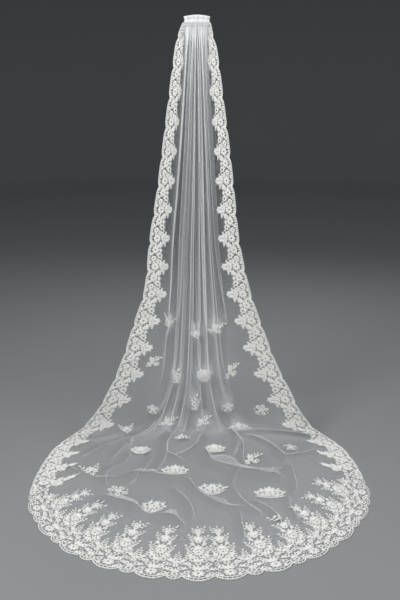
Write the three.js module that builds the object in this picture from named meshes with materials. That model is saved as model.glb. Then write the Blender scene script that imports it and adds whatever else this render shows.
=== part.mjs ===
// Lace bridal veil. One layer of tulle is gathered on a hair comb, hangs straight
// down in soft folds and runs out on the floor into a long rounded train. A wide
// border of corded lace follows its sides and hem, and small lace sprays are sewn
// over the lower half.
// Millimetres, +Z up. The comb's spine is centred on the origin, the right side
// of the cloth faces -Y and the train runs towards -Y.

import * as THREE from 'three';

// Driving dimensions: the cut of the tulle
const CUT_HALF_WIDTH = 750;
const CUT_STRAIGHT = 2350;
const CUT_ROUND = 650;

// Driving dimensions: how it hangs
const COMB_HEIGHT = 1685;
const CLOTH_PLANE = 5.3;
const TULLE_WALL = 1.0;
const LACE_WALL = 1.0;
const LACE_LIFT = 3.9;
const MITRE_LIMIT = 2.5;
const FLOOR_CLEARANCE = 0.6;
const FOLDS = 10;
const FOLDED_PART = 0.9;
const STRIP_SLACK = 1.1;
const FOLD_SOFTNESS = 0.03;
const FOLD_UNEVENNESS = 0.7;
const FOLD_WANDER = 900;
const RIDGE_BRIDGE = 24;

// Driving dimensions: the gathered heading and the comb
const HEADING_WIDTH = 103;
const HEADING_FOOT = -15;
const HEADING_ARCH = 8;
const FLUTE_DEPTH = 0.9;
const FLUTES = 10;
const COMB_WIDTH = 96;
const COMB_SPINE = 5;
const COMB_THICKNESS = 1.8;
const TOOTH_COUNT = 18;
const TOOTH_LENGTH = 33;
const TOOTH_WIDTH = 2.2;
const TOOTH_TIP = 1.0;

// Driving dimensions: the lace border
const BORDER_START = 19;
const SIDE_REPEATS = 20;
const HEM_REPEATS = 7;
const BORDER_GAP = 0.4;

// A table as objects: every row gets the names of the columns.
const table = (columns, rows) => rows.map(
  (row) => Object.fromEntries(columns.map((name, k) => [name, row[k]])),
);

// How the cloth lies, a row for each section down its length. t is the cloth
// length below the comb. left and right are where its two edges are, midLeft and
// midRight the two sides of the folded bundle between the flat strips. even is 0
// where the cloth is bunched and 1 where it is spread evenly. fold is the depth of
// the folds. The middle and the edges each have a rise above the floor and a
// distance forward of the comb.
const SECTION_COLUMNS = [
  't', 'left', 'right', 'midLeft', 'midRight', 'even', 'fold',
  'midRise', 'midForward', 'edgeRise', 'edgeForward',
];
const SECTIONS = table(SECTION_COLUMNS, [
  [0, 50, 50, 40, 40, 0, 2.4, 1685, 0, 1685, 0],
  [60, 68, 58, 42, 38, 0, 6, 1625, 4, 1627, 2],
  [120, 80, 72, 44, 40, 0, 15, 1565, 7, 1569, 4],
  [300, 105, 97, 54, 46, 0, 28, 1385, 8, 1391, 6],
  [490, 130, 122, 68, 58, 0, 33, 1195, 8, 1203, 8],
  [680, 155, 143, 84, 70, 0, 36, 1005, 8, 1014, 11],
  [880, 186, 165, 102, 82, 0, 38, 805, 8, 816, 18],
  [1080, 208, 208, 112, 98, 0, 38, 605, 8, 619, 28],
  [1240, 256, 260, 120, 108, 0, 36, 445, 8, 467, 40],
  [1400, 306, 318, 128, 118, 0, 32, 285, 8, 317, 58],
  [1520, 355, 374, 142, 134, 0.05, 27, 165, 8, 208, 76],
  [1630, 410, 422, 168, 162, 0.2, 19, 56, 10, 115, 96],
  [1660, 430, 440, 180, 176, 0.27, 16, 28, 18, 92, 102],
  [1690, 450, 458, 192, 190, 0.35, 13, 7, 39, 70, 108],
  [1720, 472, 480, 206, 206, 0.43, 11, 0, 66, 49, 115],
  [1815, 550, 562, 290, 296, 0.7, 7, 0, 156, 3, 158],
  [1900, 574, 588, 350, 360, 0.86, 4, 0, 237, 0, 238],
  [2000, 588, 604, 410, 420, 0.96, 2, 0, 332, 0, 332],
  [2150, 599, 617, 480, 492, 1, 0.8, 0, 474, 0, 474],
  [2350, 599, 620, 480, 492, 1, 0, 0, 665, 0, 665],
  [2650, 578, 590, 480, 492, 1, 0, 0, 952, 0, 952],
  [3030, 574, 588, 480, 492, 1, 0, 0, 1316, 0, 1316],
]);

// Soft ridges in the train, a row for each: where its two ends lie in the cut
// cloth, how wide it is and how high it stands.
const RIDGES = table(['s0', 't0', 's1', 't1', 'width', 'height'], [
  [-250, 2130, 0, 2110, 60, 17],
  [-440, 2380, -130, 2560, 60, 12],
  [-420, 2110, -330, 1930, 45, 14],
  [-150, 1960, 10, 1850, 45, 15],
  [80, 2060, 330, 2170, 55, 14],
  [170, 1760, 260, 1980, 45, 14],
  [10, 2360, 210, 2490, 50, 10],
  [470, 2030, 450, 2360, 55, 12],
]);

// The sewn-on lace sprays, a row for each: its kind, where its middle lies
// across the veil and down the cloth, its width and length, and its turn.
const SPRAYS = table(['kind', 'x', 't', 'wide', 'long', 'turn'], [
  ['sprig', -115, 1207, 46, 60, 10],
  ['sprig', -4, 1253, 46, 56, -20],
  ['sprig', 80, 1230, 56, 60, 15],
  ['posy', -179, 1384, 56, 56, 0],
  ['sprig', -84, 1443, 44, 66, 0],
  ['fan', 29, 1434, 64, 66, 8],
  ['posy', 144, 1419, 50, 76, 0],
  ['posy', -187, 1579, 56, 50, 0],
  ['posy', -8, 1547, 46, 76, 0],
  ['posy', 128, 1565, 58, 46, 0],
  ['posy', 269, 1583, 70, 52, 20],
  ['sprig', -305, 1655, 72, 60, -25],
  ['sprig', -121, 1640, 56, 70, 12],
  ['sprig', 25, 1640, 60, 62, -12],
  ['posy', -64, 1738, 66, 66, 0],
  ['sprig', 180, 1640, 72, 62, 30],
  ['fan', -226, 1907, 74, 74, 6],
  ['fan', 72, 1883, 74, 76, -10],
  ['posy', 378, 1862, 66, 66, 0],
  ['sprig', 219, 1999, 66, 90, 35],
  ['sprig', -403, 2112, 76, 92, -15],
  ['fan', -83, 2132, 82, 96, 0],
  ['posy', -285, 2325, 76, 84, 0],
  ['fan', 57, 2324, 82, 90, 0],
  ['fan', 265, 2369, 90, 84, 0],
  ['fan', -154, 2495, 78, 110, 0],
]);

// Materials
const tulleFinish = new THREE.MeshStandardMaterial({ color: 0xe9ebec, roughness: 0.75, metalness: 0 });
const laceFinish = new THREE.MeshStandardMaterial({ color: 0xf6f5f0, roughness: 0.85, metalness: 0 });
const combFinish = new THREE.MeshStandardMaterial({ color: 0xe8e9ea, roughness: 0.25, metalness: 0 });

const clamp = (value, low, high) => Math.min(high, Math.max(low, value));
const mix = (a, b, weight) => a + (b - a) * weight;

// A column of a table at length t, on a smooth curve through its rows: a cubic
// whose slope at each row is that of the line between its two neighbours.
function follow(rows, column, t) {
  const last = rows.length - 1;
  let k = 0;
  while (k < last - 1 && rows[k + 1].t < t) k += 1;
  const slope = (i) => {
    const before = rows[Math.max(i - 1, 0)];
    const after = rows[Math.min(i + 1, last)];
    return (after[column] - before[column]) / (after.t - before.t);
  };
  const step = rows[k + 1].t - rows[k].t;
  const w = clamp((t - rows[k].t) / step, 0, 1);
  const ease = w * w * (3 - 2 * w);
  const startPull = slope(k) * step * w * (1 - w) * (1 - w);
  const endPull = slope(k + 1) * step * w * w * (1 - w);
  return mix(rows[k][column], rows[k + 1][column], ease) + startPull - endPull;
}

const section = (column, t) => follow(SECTIONS, column, t);

// Where thread u (-1 to 1 across the cut) is at length t: x across the veil, and
// how much of the fold depth it takes. Inside the bundle the threads are crowded,
// in the strips beside it they lie flat, and a square root rounds the change.
function spreadOf(u, t) {
  const side = u < 0 ? -1 : 1;
  const reach = Math.abs(u);
  const edge = section(side < 0 ? 'left' : 'right', t);
  const mid = section(side < 0 ? 'midLeft' : 'midRight', t);
  const even = section('even', t);
  const turnover = 1 - (STRIP_SLACK * (edge - mid)) / CUT_HALF_WIDTH;
  const past = reach - turnover;
  const root = Math.hypot(past, FOLD_SOFTNESS);
  const rootAtCentre = Math.hypot(turnover, FOLD_SOFTNESS);
  const rootAtEdge = Math.hypot(1 - turnover, FOLD_SOFTNESS);
  const bend = (past + root + turnover - rootAtCentre) / 2;
  const bendAtEdge = (1 + rootAtEdge - rootAtCentre) / 2;
  const slope = mid / turnover;
  const bunched = slope * reach + ((edge - slope) * bend) / bendAtEdge;
  return { x: side * mix(bunched, edge * reach, even), depth: (1 - past / root) / 2 };
}

// The thread that passes x at length t, by halving.
function threadAt(x, t) {
  let low = -1;
  let high = 1;
  for (let pass = 0; pass < 24; pass += 1) {
    const middle = (low + high) / 2;
    if (spreadOf(middle, t).x < x) low = middle;
    else high = middle;
  }
  return (low + high) / 2;
}

// Height of the train's ridges at a point of the cut: each is a round bump across
// its line, and dies away towards its two ends.
function ridgeHeight(s, t) {
  let height = 0;
  for (const ridge of RIDGES) {
    const along = new THREE.Vector2(ridge.s1 - ridge.s0, ridge.t1 - ridge.t0);
    const from = new THREE.Vector2(s - ridge.s0, t - ridge.t0);
    const w = clamp(from.dot(along) / along.lengthSq(), 0, 1);
    const away = Math.hypot(from.x - w * along.x, from.y - w * along.y) / (ridge.width / 2);
    height += ridge.height * Math.exp(-away * away) * (0.4 + 0.6 * Math.sin(Math.PI * w));
  }
  return height;
}

// The same under a stiff lace piece, which bridges the ridge's foot: the highest of
// five points around it.
function bridgedHeight(s, t) {
  const reach = RIDGE_BRIDGE;
  const around = [[0, 0], [reach, 0], [-reach, 0], [0, reach], [0, -reach]];
  return Math.max(...around.map(([ds, dt]) => ridgeHeight(s + ds, t + dt)));
}

// Rise and distance forward of a thread at length t. The middle's line passes
// into the edges' line with the fourth power of u.
function lineOf(u, t) {
  const weight = Math.min(u * u * u * u, 1);
  const rise = mix(section('midRise', t), section('edgeRise', t), weight);
  const forward = mix(section('midForward', t), section('edgeForward', t), weight);
  return { rise: rise + FLOOR_CLEARANCE, forward };
}

// The outward direction of a thread at length t: forward where it hangs, up where
// it lies.
function outwardOf(u, t) {
  const before = lineOf(u, t - 6);
  const after = lineOf(u, t + 6);
  const down = before.rise - after.rise;
  const ahead = after.forward - before.forward;
  const length = Math.hypot(down, ahead);
  return { forward: down / length, up: Math.max(ahead / length, 0) };
}

// A point near the cloth. The fold wave swings to both sides where the cloth hangs
// and only upwards where it lies; ridge is the train's height there and lift the
// distance off the cloth's middle.
function place(x, u, t, wave, ridge, lift) {
  const line = lineOf(u, t);
  const out = outwardOf(u, t);
  const push = section('fold', t) * wave(out.up) + ridge * out.up + lift;
  const forward = line.forward + push * out.forward;
  return new THREE.Vector3(x, -CLOTH_PLANE - forward, line.rise + push * out.up - COMB_HEIGHT);
}

// A point of the cut cloth where it hangs or lies.
function onCloth(s, t) {
  const u = s / CUT_HALF_WIDTH;
  const { x, depth } = spreadOf(u, t);
  const uneven = FOLD_UNEVENNESS * Math.sin(7 * u + t / FOLD_WANDER);
  const phase = (Math.PI * FOLDS * u) / FOLDED_PART + uneven;
  return place(x, u, t, (up) => depth * (Math.sin(phase) + up), ridgeHeight(s, t), 0);
}

// A point on the crests of the folds, given by its place in the cut.
function onCutCrests(s, t, lift) {
  const u = s / CUT_HALF_WIDTH;
  const { x, depth } = spreadOf(u, t);
  return place(x, u, t, (up) => depth * (1 + up), bridgedHeight(s, t), lift);
}

// A point on the crests of the folds, given by its place across the veil.
function onCrests(x, t, lift) {
  const u = threadAt(x, t);
  return place(x, u, t, (up) => 1 + up, bridgedHeight(u * CUT_HALF_WIDTH, t), lift);
}

// A closed wall over a grid of cells. surface(i, j, side) gives the grid's points on
// the front (side 1) and the back (side -1); kept(i, j) says which cells are there.
function wallGeometry(columns, rows, surface, kept) {
  const points = [];
  const faces = [];
  const numbers = new Map();
  const number = (i, j, side) => {
    const key = `${i},${j},${side}`;
    if (!numbers.has(key)) {
      numbers.set(key, points.length / 3);
      points.push(...surface(i, j, side).toArray());
    }
    return numbers.get(key);
  };
  const inside = (i, j) => i >= 0 && j >= 0 && i < columns && j < rows && kept(i, j);
  const quad = (a, b, c, d) => faces.push(a, b, c, a, c, d);
  const rim = (i0, j0, i1, j1) => {
    quad(number(i0, j0, 1), number(i1, j1, 1), number(i1, j1, -1), number(i0, j0, -1));
  };
  for (let i = 0; i < columns; i += 1) {
    for (let j = 0; j < rows; j += 1) {
      if (!inside(i, j)) continue;
      quad(number(i, j, 1), number(i, j + 1, 1), number(i + 1, j + 1, 1), number(i + 1, j, 1));
      quad(number(i, j, -1), number(i + 1, j, -1), number(i + 1, j + 1, -1), number(i, j + 1, -1));
      if (!inside(i, j - 1)) rim(i, j, i + 1, j);
      if (!inside(i, j + 1)) rim(i + 1, j + 1, i, j + 1);
      if (!inside(i - 1, j)) rim(i, j + 1, i, j);
      if (!inside(i + 1, j)) rim(i + 1, j, i + 1, j + 1);
    }
  }
  const geometry = new THREE.BufferGeometry();
  geometry.setAttribute('position', new THREE.Float32BufferAttribute(points, 3));
  geometry.setIndex(faces);
  geometry.computeVertexNormals();
  return geometry;
}

function namedMesh(name, geometry, material) {
  const mesh = new THREE.Mesh(geometry, material);
  mesh.name = name;
  return mesh;
}

// Hair comb: one plain plate with a spine and straight pointed teeth
function combGeometry() {
  const pitch = (COMB_WIDTH - TOOTH_WIDTH) / (TOOTH_COUNT - 1);
  const outline = new THREE.Shape();
  outline.moveTo(-COMB_WIDTH / 2, COMB_SPINE / 2);
  for (let tooth = 0; tooth < TOOTH_COUNT; tooth += 1) {
    const centre = -COMB_WIDTH / 2 + TOOTH_WIDTH / 2 + tooth * pitch;
    outline.lineTo(centre - TOOTH_WIDTH / 2, -COMB_SPINE / 2);
    outline.lineTo(centre - TOOTH_TIP / 2, -COMB_SPINE / 2 - TOOTH_LENGTH);
    outline.lineTo(centre + TOOTH_TIP / 2, -COMB_SPINE / 2 - TOOTH_LENGTH);
    outline.lineTo(centre + TOOTH_WIDTH / 2, -COMB_SPINE / 2);
  }
  outline.lineTo(COMB_WIDTH / 2, COMB_SPINE / 2);
  const plate = new THREE.ExtrudeGeometry(outline, { depth: COMB_THICKNESS, bevelEnabled: false });
  plate.rotateX(Math.PI / 2);
  plate.translate(0, COMB_THICKNESS / 2, 0);
  return plate;
}

// Gathered heading: rows from the frill down, each with its height, half its depth
// and how far its ends stand out past the pinch; the frill above is arched.
const HEADING_ROWS = [
  { z: 20, depth: 5.2, flare: 0, arch: 1 },
  { z: 9, depth: 4.6, flare: -1, arch: 0.5 },
  { z: 0, depth: 2.6, flare: -3, arch: 0 },
  { z: -7, depth: 3.4, flare: -2, arch: 0 },
  { z: HEADING_FOOT, depth: 3.6, flare: -1, arch: 0 },
];

function headingGeometry() {
  const columns = FLUTES * 2;
  const point = (i, j, side) => {
    const row = HEADING_ROWS[j];
    const across = i / columns - 0.5;
    const x = across * 2 * (HEADING_WIDTH / 2 + row.flare);
    const flute = i % 2 === 0 ? -FLUTE_DEPTH : 0;
    const z = row.z + HEADING_ARCH * row.arch * (Math.cos(Math.PI * across) - 1);
    return new THREE.Vector3(x, -CLOTH_PLANE - side * (row.depth + flute), z);
  };
  return wallGeometry(columns, HEADING_ROWS.length - 1, point, () => true);
}

// Tulle: columns follow the folds, rows are close where the cloth turns onto the
// floor, and past the straight part the rows are arcs towards the round hem.
const TULLE_ROWS = [
  17.5, 50, 95, 160, 270, 430, 620, 820, 1020, 1200, 1350, 1450, 1530, 1590, 1640, 1666,
  1692, 1718, 1746, 1780, 1810, 1845, 1900, 2000, 2170, CUT_STRAIGHT,
];
const ROUND_ROWS = 3;
const CORNER_COSINE = 0.5;
const STRIP_COLUMNS = 2;
const COLUMNS_PER_FOLD = 4;

function cutPoint(c, j) {
  if (j < TULLE_ROWS.length) return { s: c * CUT_HALF_WIDTH, t: TULLE_ROWS[j] };
  const part = (j - TULLE_ROWS.length + 1) / ROUND_ROWS;
  const half = CUT_HALF_WIDTH * Math.sqrt(1 - (CORNER_COSINE * part) ** 2);
  const drop = CUT_ROUND * part * Math.sqrt(1 - c * c * (1 - CORNER_COSINE ** 2));
  return { s: c * half, t: CUT_STRAIGHT + drop };
}

function tulleGeometry() {
  const folded = FOLDS * COLUMNS_PER_FOLD;
  const columns = folded + 2 * STRIP_COLUMNS;
  const across = (i) => {
    const k = i - columns / 2;
    const past = Math.abs(k) - folded / 2;
    if (past <= 0) return (k / (folded / 2)) * FOLDED_PART;
    return Math.sign(k) * (FOLDED_PART + ((1 - FOLDED_PART) * past) / STRIP_COLUMNS);
  };
  const rows = TULLE_ROWS.length - 1 + ROUND_ROWS;
  const middle = [];
  for (let i = 0; i <= columns; i += 1) {
    middle.push([]);
    for (let j = 0; j <= rows; j += 1) {
      const { s, t } = cutPoint(across(i), j);
      middle[i].push(onCloth(s, t));
    }
  }
  const point = (i, j, side) => {
    const half = mitre(middle, i, j).multiplyScalar((side * TULLE_WALL) / 2);
    return half.add(middle[i][j]);
  };
  return wallGeometry(columns, rows, point, () => true);
}

// The way from a grid's middle surface to its wall's face at one point: the mitre of
// the two facets beside it, for a wall of half thickness one, never a long spike.
function mitre(middle, i, j) {
  const column = middle[i];
  const down = column[Math.min(j + 1, column.length - 1)].clone().sub(column[Math.max(j - 1, 0)]);
  const facetNormal = (from, to) => down.clone().cross(to.clone().sub(from)).normalize();
  const before = facetNormal(middle[Math.max(i - 1, 0)][j], middle[Math.max(i, 1)][j]);
  const last = middle.length - 1;
  const after = facetNormal(middle[Math.min(i, last - 1)][j], middle[Math.min(i + 1, last)][j]);
  const sum = before.clone().add(after);
  return sum.divideScalar(1 + before.dot(after)).clampLength(0, MITRE_LIMIT);
}

// The cut's edge at length a along it, from the comb down the side and round to
// the middle of the hem, with the direction into the cloth.
const HEM_STEPS = 60;
const hemLengths = [0];
const hemAngle = (k) => (Math.PI / 2) * (1 - k / HEM_STEPS);
for (let k = 1; k <= HEM_STEPS; k += 1) {
  const ds = CUT_HALF_WIDTH * (Math.sin(hemAngle(k)) - Math.sin(hemAngle(k - 1)));
  const dt = CUT_ROUND * (Math.cos(hemAngle(k)) - Math.cos(hemAngle(k - 1)));
  hemLengths.push(hemLengths[k - 1] + Math.hypot(ds, dt));
}
const EDGE_LENGTH = CUT_STRAIGHT + hemLengths[HEM_STEPS];

function cutEdge(a) {
  if (a <= CUT_STRAIGHT) return { s: CUT_HALF_WIDTH, t: a, inS: -1, inT: 0 };
  const past = a - CUT_STRAIGHT;
  let k = 0;
  while (k < HEM_STEPS - 1 && hemLengths[k + 1] < past) k += 1;
  const part = (past - hemLengths[k]) / (hemLengths[k + 1] - hemLengths[k]);
  const angle = hemAngle(k + part);
  const outS = Math.sin(angle) / CUT_HALF_WIDTH;
  const outT = Math.cos(angle) / CUT_ROUND;
  const length = Math.hypot(outS, outT);
  return {
    s: CUT_HALF_WIDTH * Math.sin(angle),
    t: CUT_STRAIGHT + CUT_ROUND * Math.cos(angle),
    inS: -outS / length,
    inT: -outT / length,
  };
}

// One repeat of the border's outline, a row for each station: at is its place in
// the repeat, bulge the scallop's height there, inner how far in the band reaches
// against its plain width, sprig how far the sprig reaches past the band, and eye
// says that the band is pierced between this station and the next. A station with
// no sprig leaves the band's inner edge bare.
const SIDE_REPEAT = [
  { at: 0, bulge: 0, inner: 0.85, sprig: 0, eye: false },
  { at: 0.24, bulge: 1, inner: 1, sprig: 0.7, eye: true },
  { at: 0.5, bulge: 0, inner: 1.15, sprig: 1, eye: false },
  { at: 0.76, bulge: 1, inner: 1, sprig: 0, eye: true },
];
const HEM_REPEAT = [
  { at: 0, bulge: 0, inner: 0.9, sprig: 0, eye: false },
  { at: 0.16, bulge: 0.8, inner: 1, sprig: 0.5, eye: true },
  { at: 0.33, bulge: 1, inner: 1.1, sprig: 1, eye: true },
  { at: 0.5, bulge: 0.8, inner: 1, sprig: 0.6, eye: false },
  { at: 0.66, bulge: 0, inner: 0.9, sprig: 0, eye: false },
  { at: 0.83, bulge: 0.6, inner: 1, sprig: 0, eye: true },
];

// Widths of the border, a row for each stretch of the edge, with t the length along
// it from the comb: how far the scallops bulge, the cord's, eyelets' and band's depth
// into the cloth, and the sprigs' reach past the band.
const BORDER = table(['t', 'bulge', 'cord', 'eye', 'band', 'sprig'], [
  [0, 3, 4, 11, 20, 12],
  [120, 7, 9, 24, 40, 16],
  [400, 8, 10, 28, 44, 20],
  [800, 9, 11, 32, 56, 30],
  [1240, 9, 12, 36, 70, 42],
  [1800, 10, 14, 40, 76, 60],
  [2350, 12, 18, 48, 100, 120],
  [2700, 16, 24, 56, 118, 200],
  [3460, 18, 26, 58, 125, 245],
]);

function borderStations() {
  const list = [];
  const addRepeats = (pattern, count, from, to) => {
    const pitch = (to - from) / count;
    for (let repeat = 0; repeat < count; repeat += 1) {
      for (const row of pattern) list.push({ ...row, a: from + (repeat + row.at) * pitch });
    }
  };
  addRepeats(SIDE_REPEAT, SIDE_REPEATS, BORDER_START, CUT_STRAIGHT);
  addRepeats(HEM_REPEAT, HEM_REPEATS, CUT_STRAIGHT, EDGE_LENGTH - BORDER_GAP);
  list.push({ ...HEM_REPEAT[0], a: EDGE_LENGTH - BORDER_GAP });
  return list;
}

// Lace border: cells between the stations, in rows from the scalloped cord inwards:
// cord, pierced row, band and sprigs
function borderGeometry(side) {
  const stations = borderStations();
  const levels = 4;
  const point = (i, j, face) => {
    const station = stations[i];
    const size = (column) => follow(BORDER, column, station.a);
    const band = size('band') * station.inner;
    const inward = [
      -station.bulge * size('bulge'),
      size('cord'),
      size('eye'),
      band,
      band + size('sprig') * station.sprig,
    ][j];
    const edge = cutEdge(station.a);
    const s = Math.max(edge.s + edge.inS * inward, BORDER_GAP);
    return onCutCrests(side * s, edge.t + edge.inT * inward, LACE_LIFT + (face * LACE_WALL) / 2);
  };
  const kept = (i, j) => {
    if (j === 1) return !stations[i].eye;
    if (j === 3) return stations[i].sprig > 0 && stations[i + 1].sprig > 0;
    return true;
  };
  const turned = (i, j, face) => point(side < 0 ? stations.length - 1 - i : i, j, face);
  const keptTurned = (i, j) => kept(side < 0 ? stations.length - 2 - i : i, j);
  return wallGeometry(stations.length - 1, levels, turned, keptTurned);
}

// Outlines of the sewn-on sprays, as the reach of the edge at each angle in twelfths
// of a turn from the tip
const SPRAY_OUTLINES = {
  fan: [1.0, 0.55, 0.72, 0.8, 0.92, 0.86, 0.95, 0.86, 0.92, 0.8, 0.72, 0.55],
  sprig: [1.0, 0.45, 0.85, 0.5, 0.8, 0.42, 0.95, 0.42, 0.8, 0.5, 0.85, 0.45],
  posy: [0.95, 0.82, 1.0, 0.8, 0.95, 0.82, 1.0, 0.82, 0.95, 0.8, 1.0, 0.82],
};

// Sewn-on spray: a thin plate of that outline, laid on the crests of the cloth as
// a ring of cells round its middle
function sprayGeometry(spray) {
  const outline = SPRAY_OUTLINES[spray.kind];
  const turn = THREE.MathUtils.degToRad(spray.turn);
  const points = [];
  const faces = [];
  const count = outline.length;
  for (const face of [1, -1]) {
    for (let k = -1; k < count; k += 1) {
      const reach = k < 0 ? 0 : outline[k] / 2;
      const angle = (2 * Math.PI * k) / count + turn;
      const x = spray.x + spray.wide * reach * Math.sin(angle);
      const t = spray.t - spray.long * reach * Math.cos(angle);
      points.push(...onCrests(x, t, LACE_LIFT + (face * LACE_WALL) / 2).toArray());
    }
  }
  const back = count + 1;
  for (let k = 0; k < count; k += 1) {
    const here = 1 + k;
    const next = 1 + ((k + 1) % count);
    faces.push(0, next, here, back, back + here, back + next);
    faces.push(here, next, back + next, here, back + next, back + here);
  }
  const geometry = new THREE.BufferGeometry();
  geometry.setAttribute('position', new THREE.Float32BufferAttribute(points, 3));
  geometry.setIndex(faces);
  geometry.computeVertexNormals();
  return geometry;
}

// The whole veil
const veil = new THREE.Group();
veil.add(namedMesh('comb', combGeometry(), combFinish));
veil.add(namedMesh('gathered_heading', headingGeometry(), tulleFinish));
veil.add(namedMesh('tulle', tulleGeometry(), tulleFinish));
veil.add(namedMesh('lace_border_left', borderGeometry(-1), laceFinish));
veil.add(namedMesh('lace_border_right', borderGeometry(1), laceFinish));
SPRAYS.forEach((spray, index) => {
  const name = `lace_spray_${String(index + 1).padStart(2, '0')}`;
  veil.add(namedMesh(name, sprayGeometry(spray), laceFinish));
});

export default veil;
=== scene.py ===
# %% [markdown]
# # A cathedral veil of tulle and lace
# The veil is one long piece of sheer net, gathered on a comb, with a corded lace border and small
# lace sprays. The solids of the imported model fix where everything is. Here each piece gets its
# real surface: the net its folds, the lace its petals, leaves and cords.

import bpy
import numpy as np
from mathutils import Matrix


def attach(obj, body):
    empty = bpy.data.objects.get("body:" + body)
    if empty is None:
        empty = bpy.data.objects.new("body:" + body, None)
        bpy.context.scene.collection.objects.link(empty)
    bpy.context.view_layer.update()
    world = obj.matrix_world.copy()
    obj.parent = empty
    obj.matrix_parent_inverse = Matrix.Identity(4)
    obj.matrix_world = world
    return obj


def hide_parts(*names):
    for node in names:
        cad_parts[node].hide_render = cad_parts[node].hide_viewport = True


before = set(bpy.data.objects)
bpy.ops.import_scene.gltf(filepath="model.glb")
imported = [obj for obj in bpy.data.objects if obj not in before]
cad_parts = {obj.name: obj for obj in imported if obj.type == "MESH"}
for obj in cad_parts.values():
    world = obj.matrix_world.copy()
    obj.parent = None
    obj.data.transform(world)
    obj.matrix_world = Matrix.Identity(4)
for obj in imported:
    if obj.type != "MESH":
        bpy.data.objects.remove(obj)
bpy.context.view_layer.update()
print("solids in the frame:", len(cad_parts))

# %% [markdown]
# ## Camera
# The photograph looks down a little on a tall, narrow subject. A camera at chest height, four
# metres away and tilted down by 12.5 degrees, sees the heading near the top of the frame and
# the hem near its foot. It comes first, because every later choice is judged through it.

# %% Place the camera
COMB_HEIGHT = 1.685
CAMERA_DISTANCE = 4.0
CAMERA_HEIGHT = 1.454
CAMERA_PITCH = 12.5
CAMERA_ASIDE = 0.012
IMAGE_HEIGHT = 600
FOCAL_PIXELS = 991

camera_data = bpy.data.cameras.new("camera")
camera_data.sensor_width = 36.0
camera_data.lens = camera_data.sensor_width * FOCAL_PIXELS / IMAGE_HEIGHT
camera = bpy.data.objects.new("camera", camera_data)
camera.location = (CAMERA_ASIDE, -CAMERA_DISTANCE, CAMERA_HEIGHT - COMB_HEIGHT)
camera.rotation_euler = (np.radians(90 - CAMERA_PITCH), 0, 0)
bpy.context.scene.collection.objects.link(camera)
bpy.context.scene.camera = camera
print("lens in millimetres:", round(camera_data.lens, 1))

# %% [markdown]
# ## From arrays to a mesh
# Every new piece below is worked out as whole arrays of points and faces. These helpers number the
# faces of grids and tubes, join parts, and hand them to Blender, with a UV map in metres so that a
# weave or a stitch keeps its real size.


# %% Helpers that number faces
def grid_faces(columns, rows):
    """The quads of a grid of points stored column by column, facing the side of row cross column."""
    i, j = np.meshgrid(np.arange(columns - 1), np.arange(rows - 1), indexing="ij")
    first = (i * rows + j).ravel()
    return np.stack([first, first + 1, first + rows + 1, first + rows], axis=1).tolist()


def tube_faces(count, rings, sides):
    """Faces of equal tubes whose points are stored ring after ring: quads round them, and both end caps."""
    m, k, c = np.meshgrid(np.arange(count), np.arange(rings - 1), np.arange(sides), indexing="ij")
    here = (m * rings + k) * sides
    beside = (c + 1) % sides
    quads = np.stack([here + c, here + beside, here + sides + beside, here + sides + c], -1)
    first = (np.arange(count) * rings * sides)[:, None] + np.arange(sides)[None]
    return quads.reshape(-1, 4), np.concatenate([first[:, ::-1], first + (rings - 1) * sides])


print("quads of a grid of 4 by 3 points:", len(grid_faces(4, 3)))

# %% Helpers that join parts and make a mesh
def joined_meshes(parts):
    """One array of points, list of faces and array of UV of several parts. A part gives its faces as
    arrays, one for each number of corners."""
    points, faces, uv, first = [], [], [], 0
    for part_points, face_arrays, part_uv in parts:
        points.append(part_points)
        uv.append(part_uv)
        for corners in face_arrays:
            faces += (corners + first).tolist()
        first += len(part_points)
    return np.concatenate(points), faces, np.concatenate(uv)


def mesh_object(name, points, faces, material):
    """A smooth mesh object in the scene, from an array of points and a list of faces."""
    mesh = bpy.data.meshes.new(name)
    mesh.from_pydata(points.reshape(-1, 3).tolist(), [], faces)
    mesh.polygons.foreach_set("use_smooth", np.full(len(mesh.polygons), True))
    mesh.materials.append(material)
    mesh.update()
    made = bpy.data.objects.new(name, mesh)
    bpy.context.scene.collection.objects.link(made)
    return made


def new_piece(name, points, faces, uv, material):
    """A piece of the veil: a mesh object that has a UV of metres at every point, and rides on the root."""
    piece = mesh_object(name, points, faces, material)
    corners = np.empty(len(piece.data.loops), np.int32)
    piece.data.loops.foreach_get("vertex_index", corners)
    layer = piece.data.uv_layers.new(name="cut")
    layer.data.foreach_set("uv", uv.reshape(-1, 2)[corners].astype(np.float32).ravel())
    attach(piece, "root")
    return piece


square = (np.zeros((4, 3)), [np.array([[0, 1, 2, 3]])], np.zeros((4, 2)))
print("corners of a second square, joined to a first:", joined_meshes([square, square])[1][1])

# %% [markdown]
# ## How the cloth hangs
# Cloth can be draped by simulation, but three metres of gathered net would need far more than a
# few minutes, and the photograph says exactly where its edges and folds are. So the drape is a
# function: it takes a point of the flat cut (s across, t down from the comb) to its place in the
# room. A short table says, section by section, where the edges and the folded middle lie.

# %% Sections of the hanging cloth
CUT_HALF_WIDTH = 0.75
CUT_STRAIGHT = 2.35
CUT_ROUND = 0.65

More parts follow.
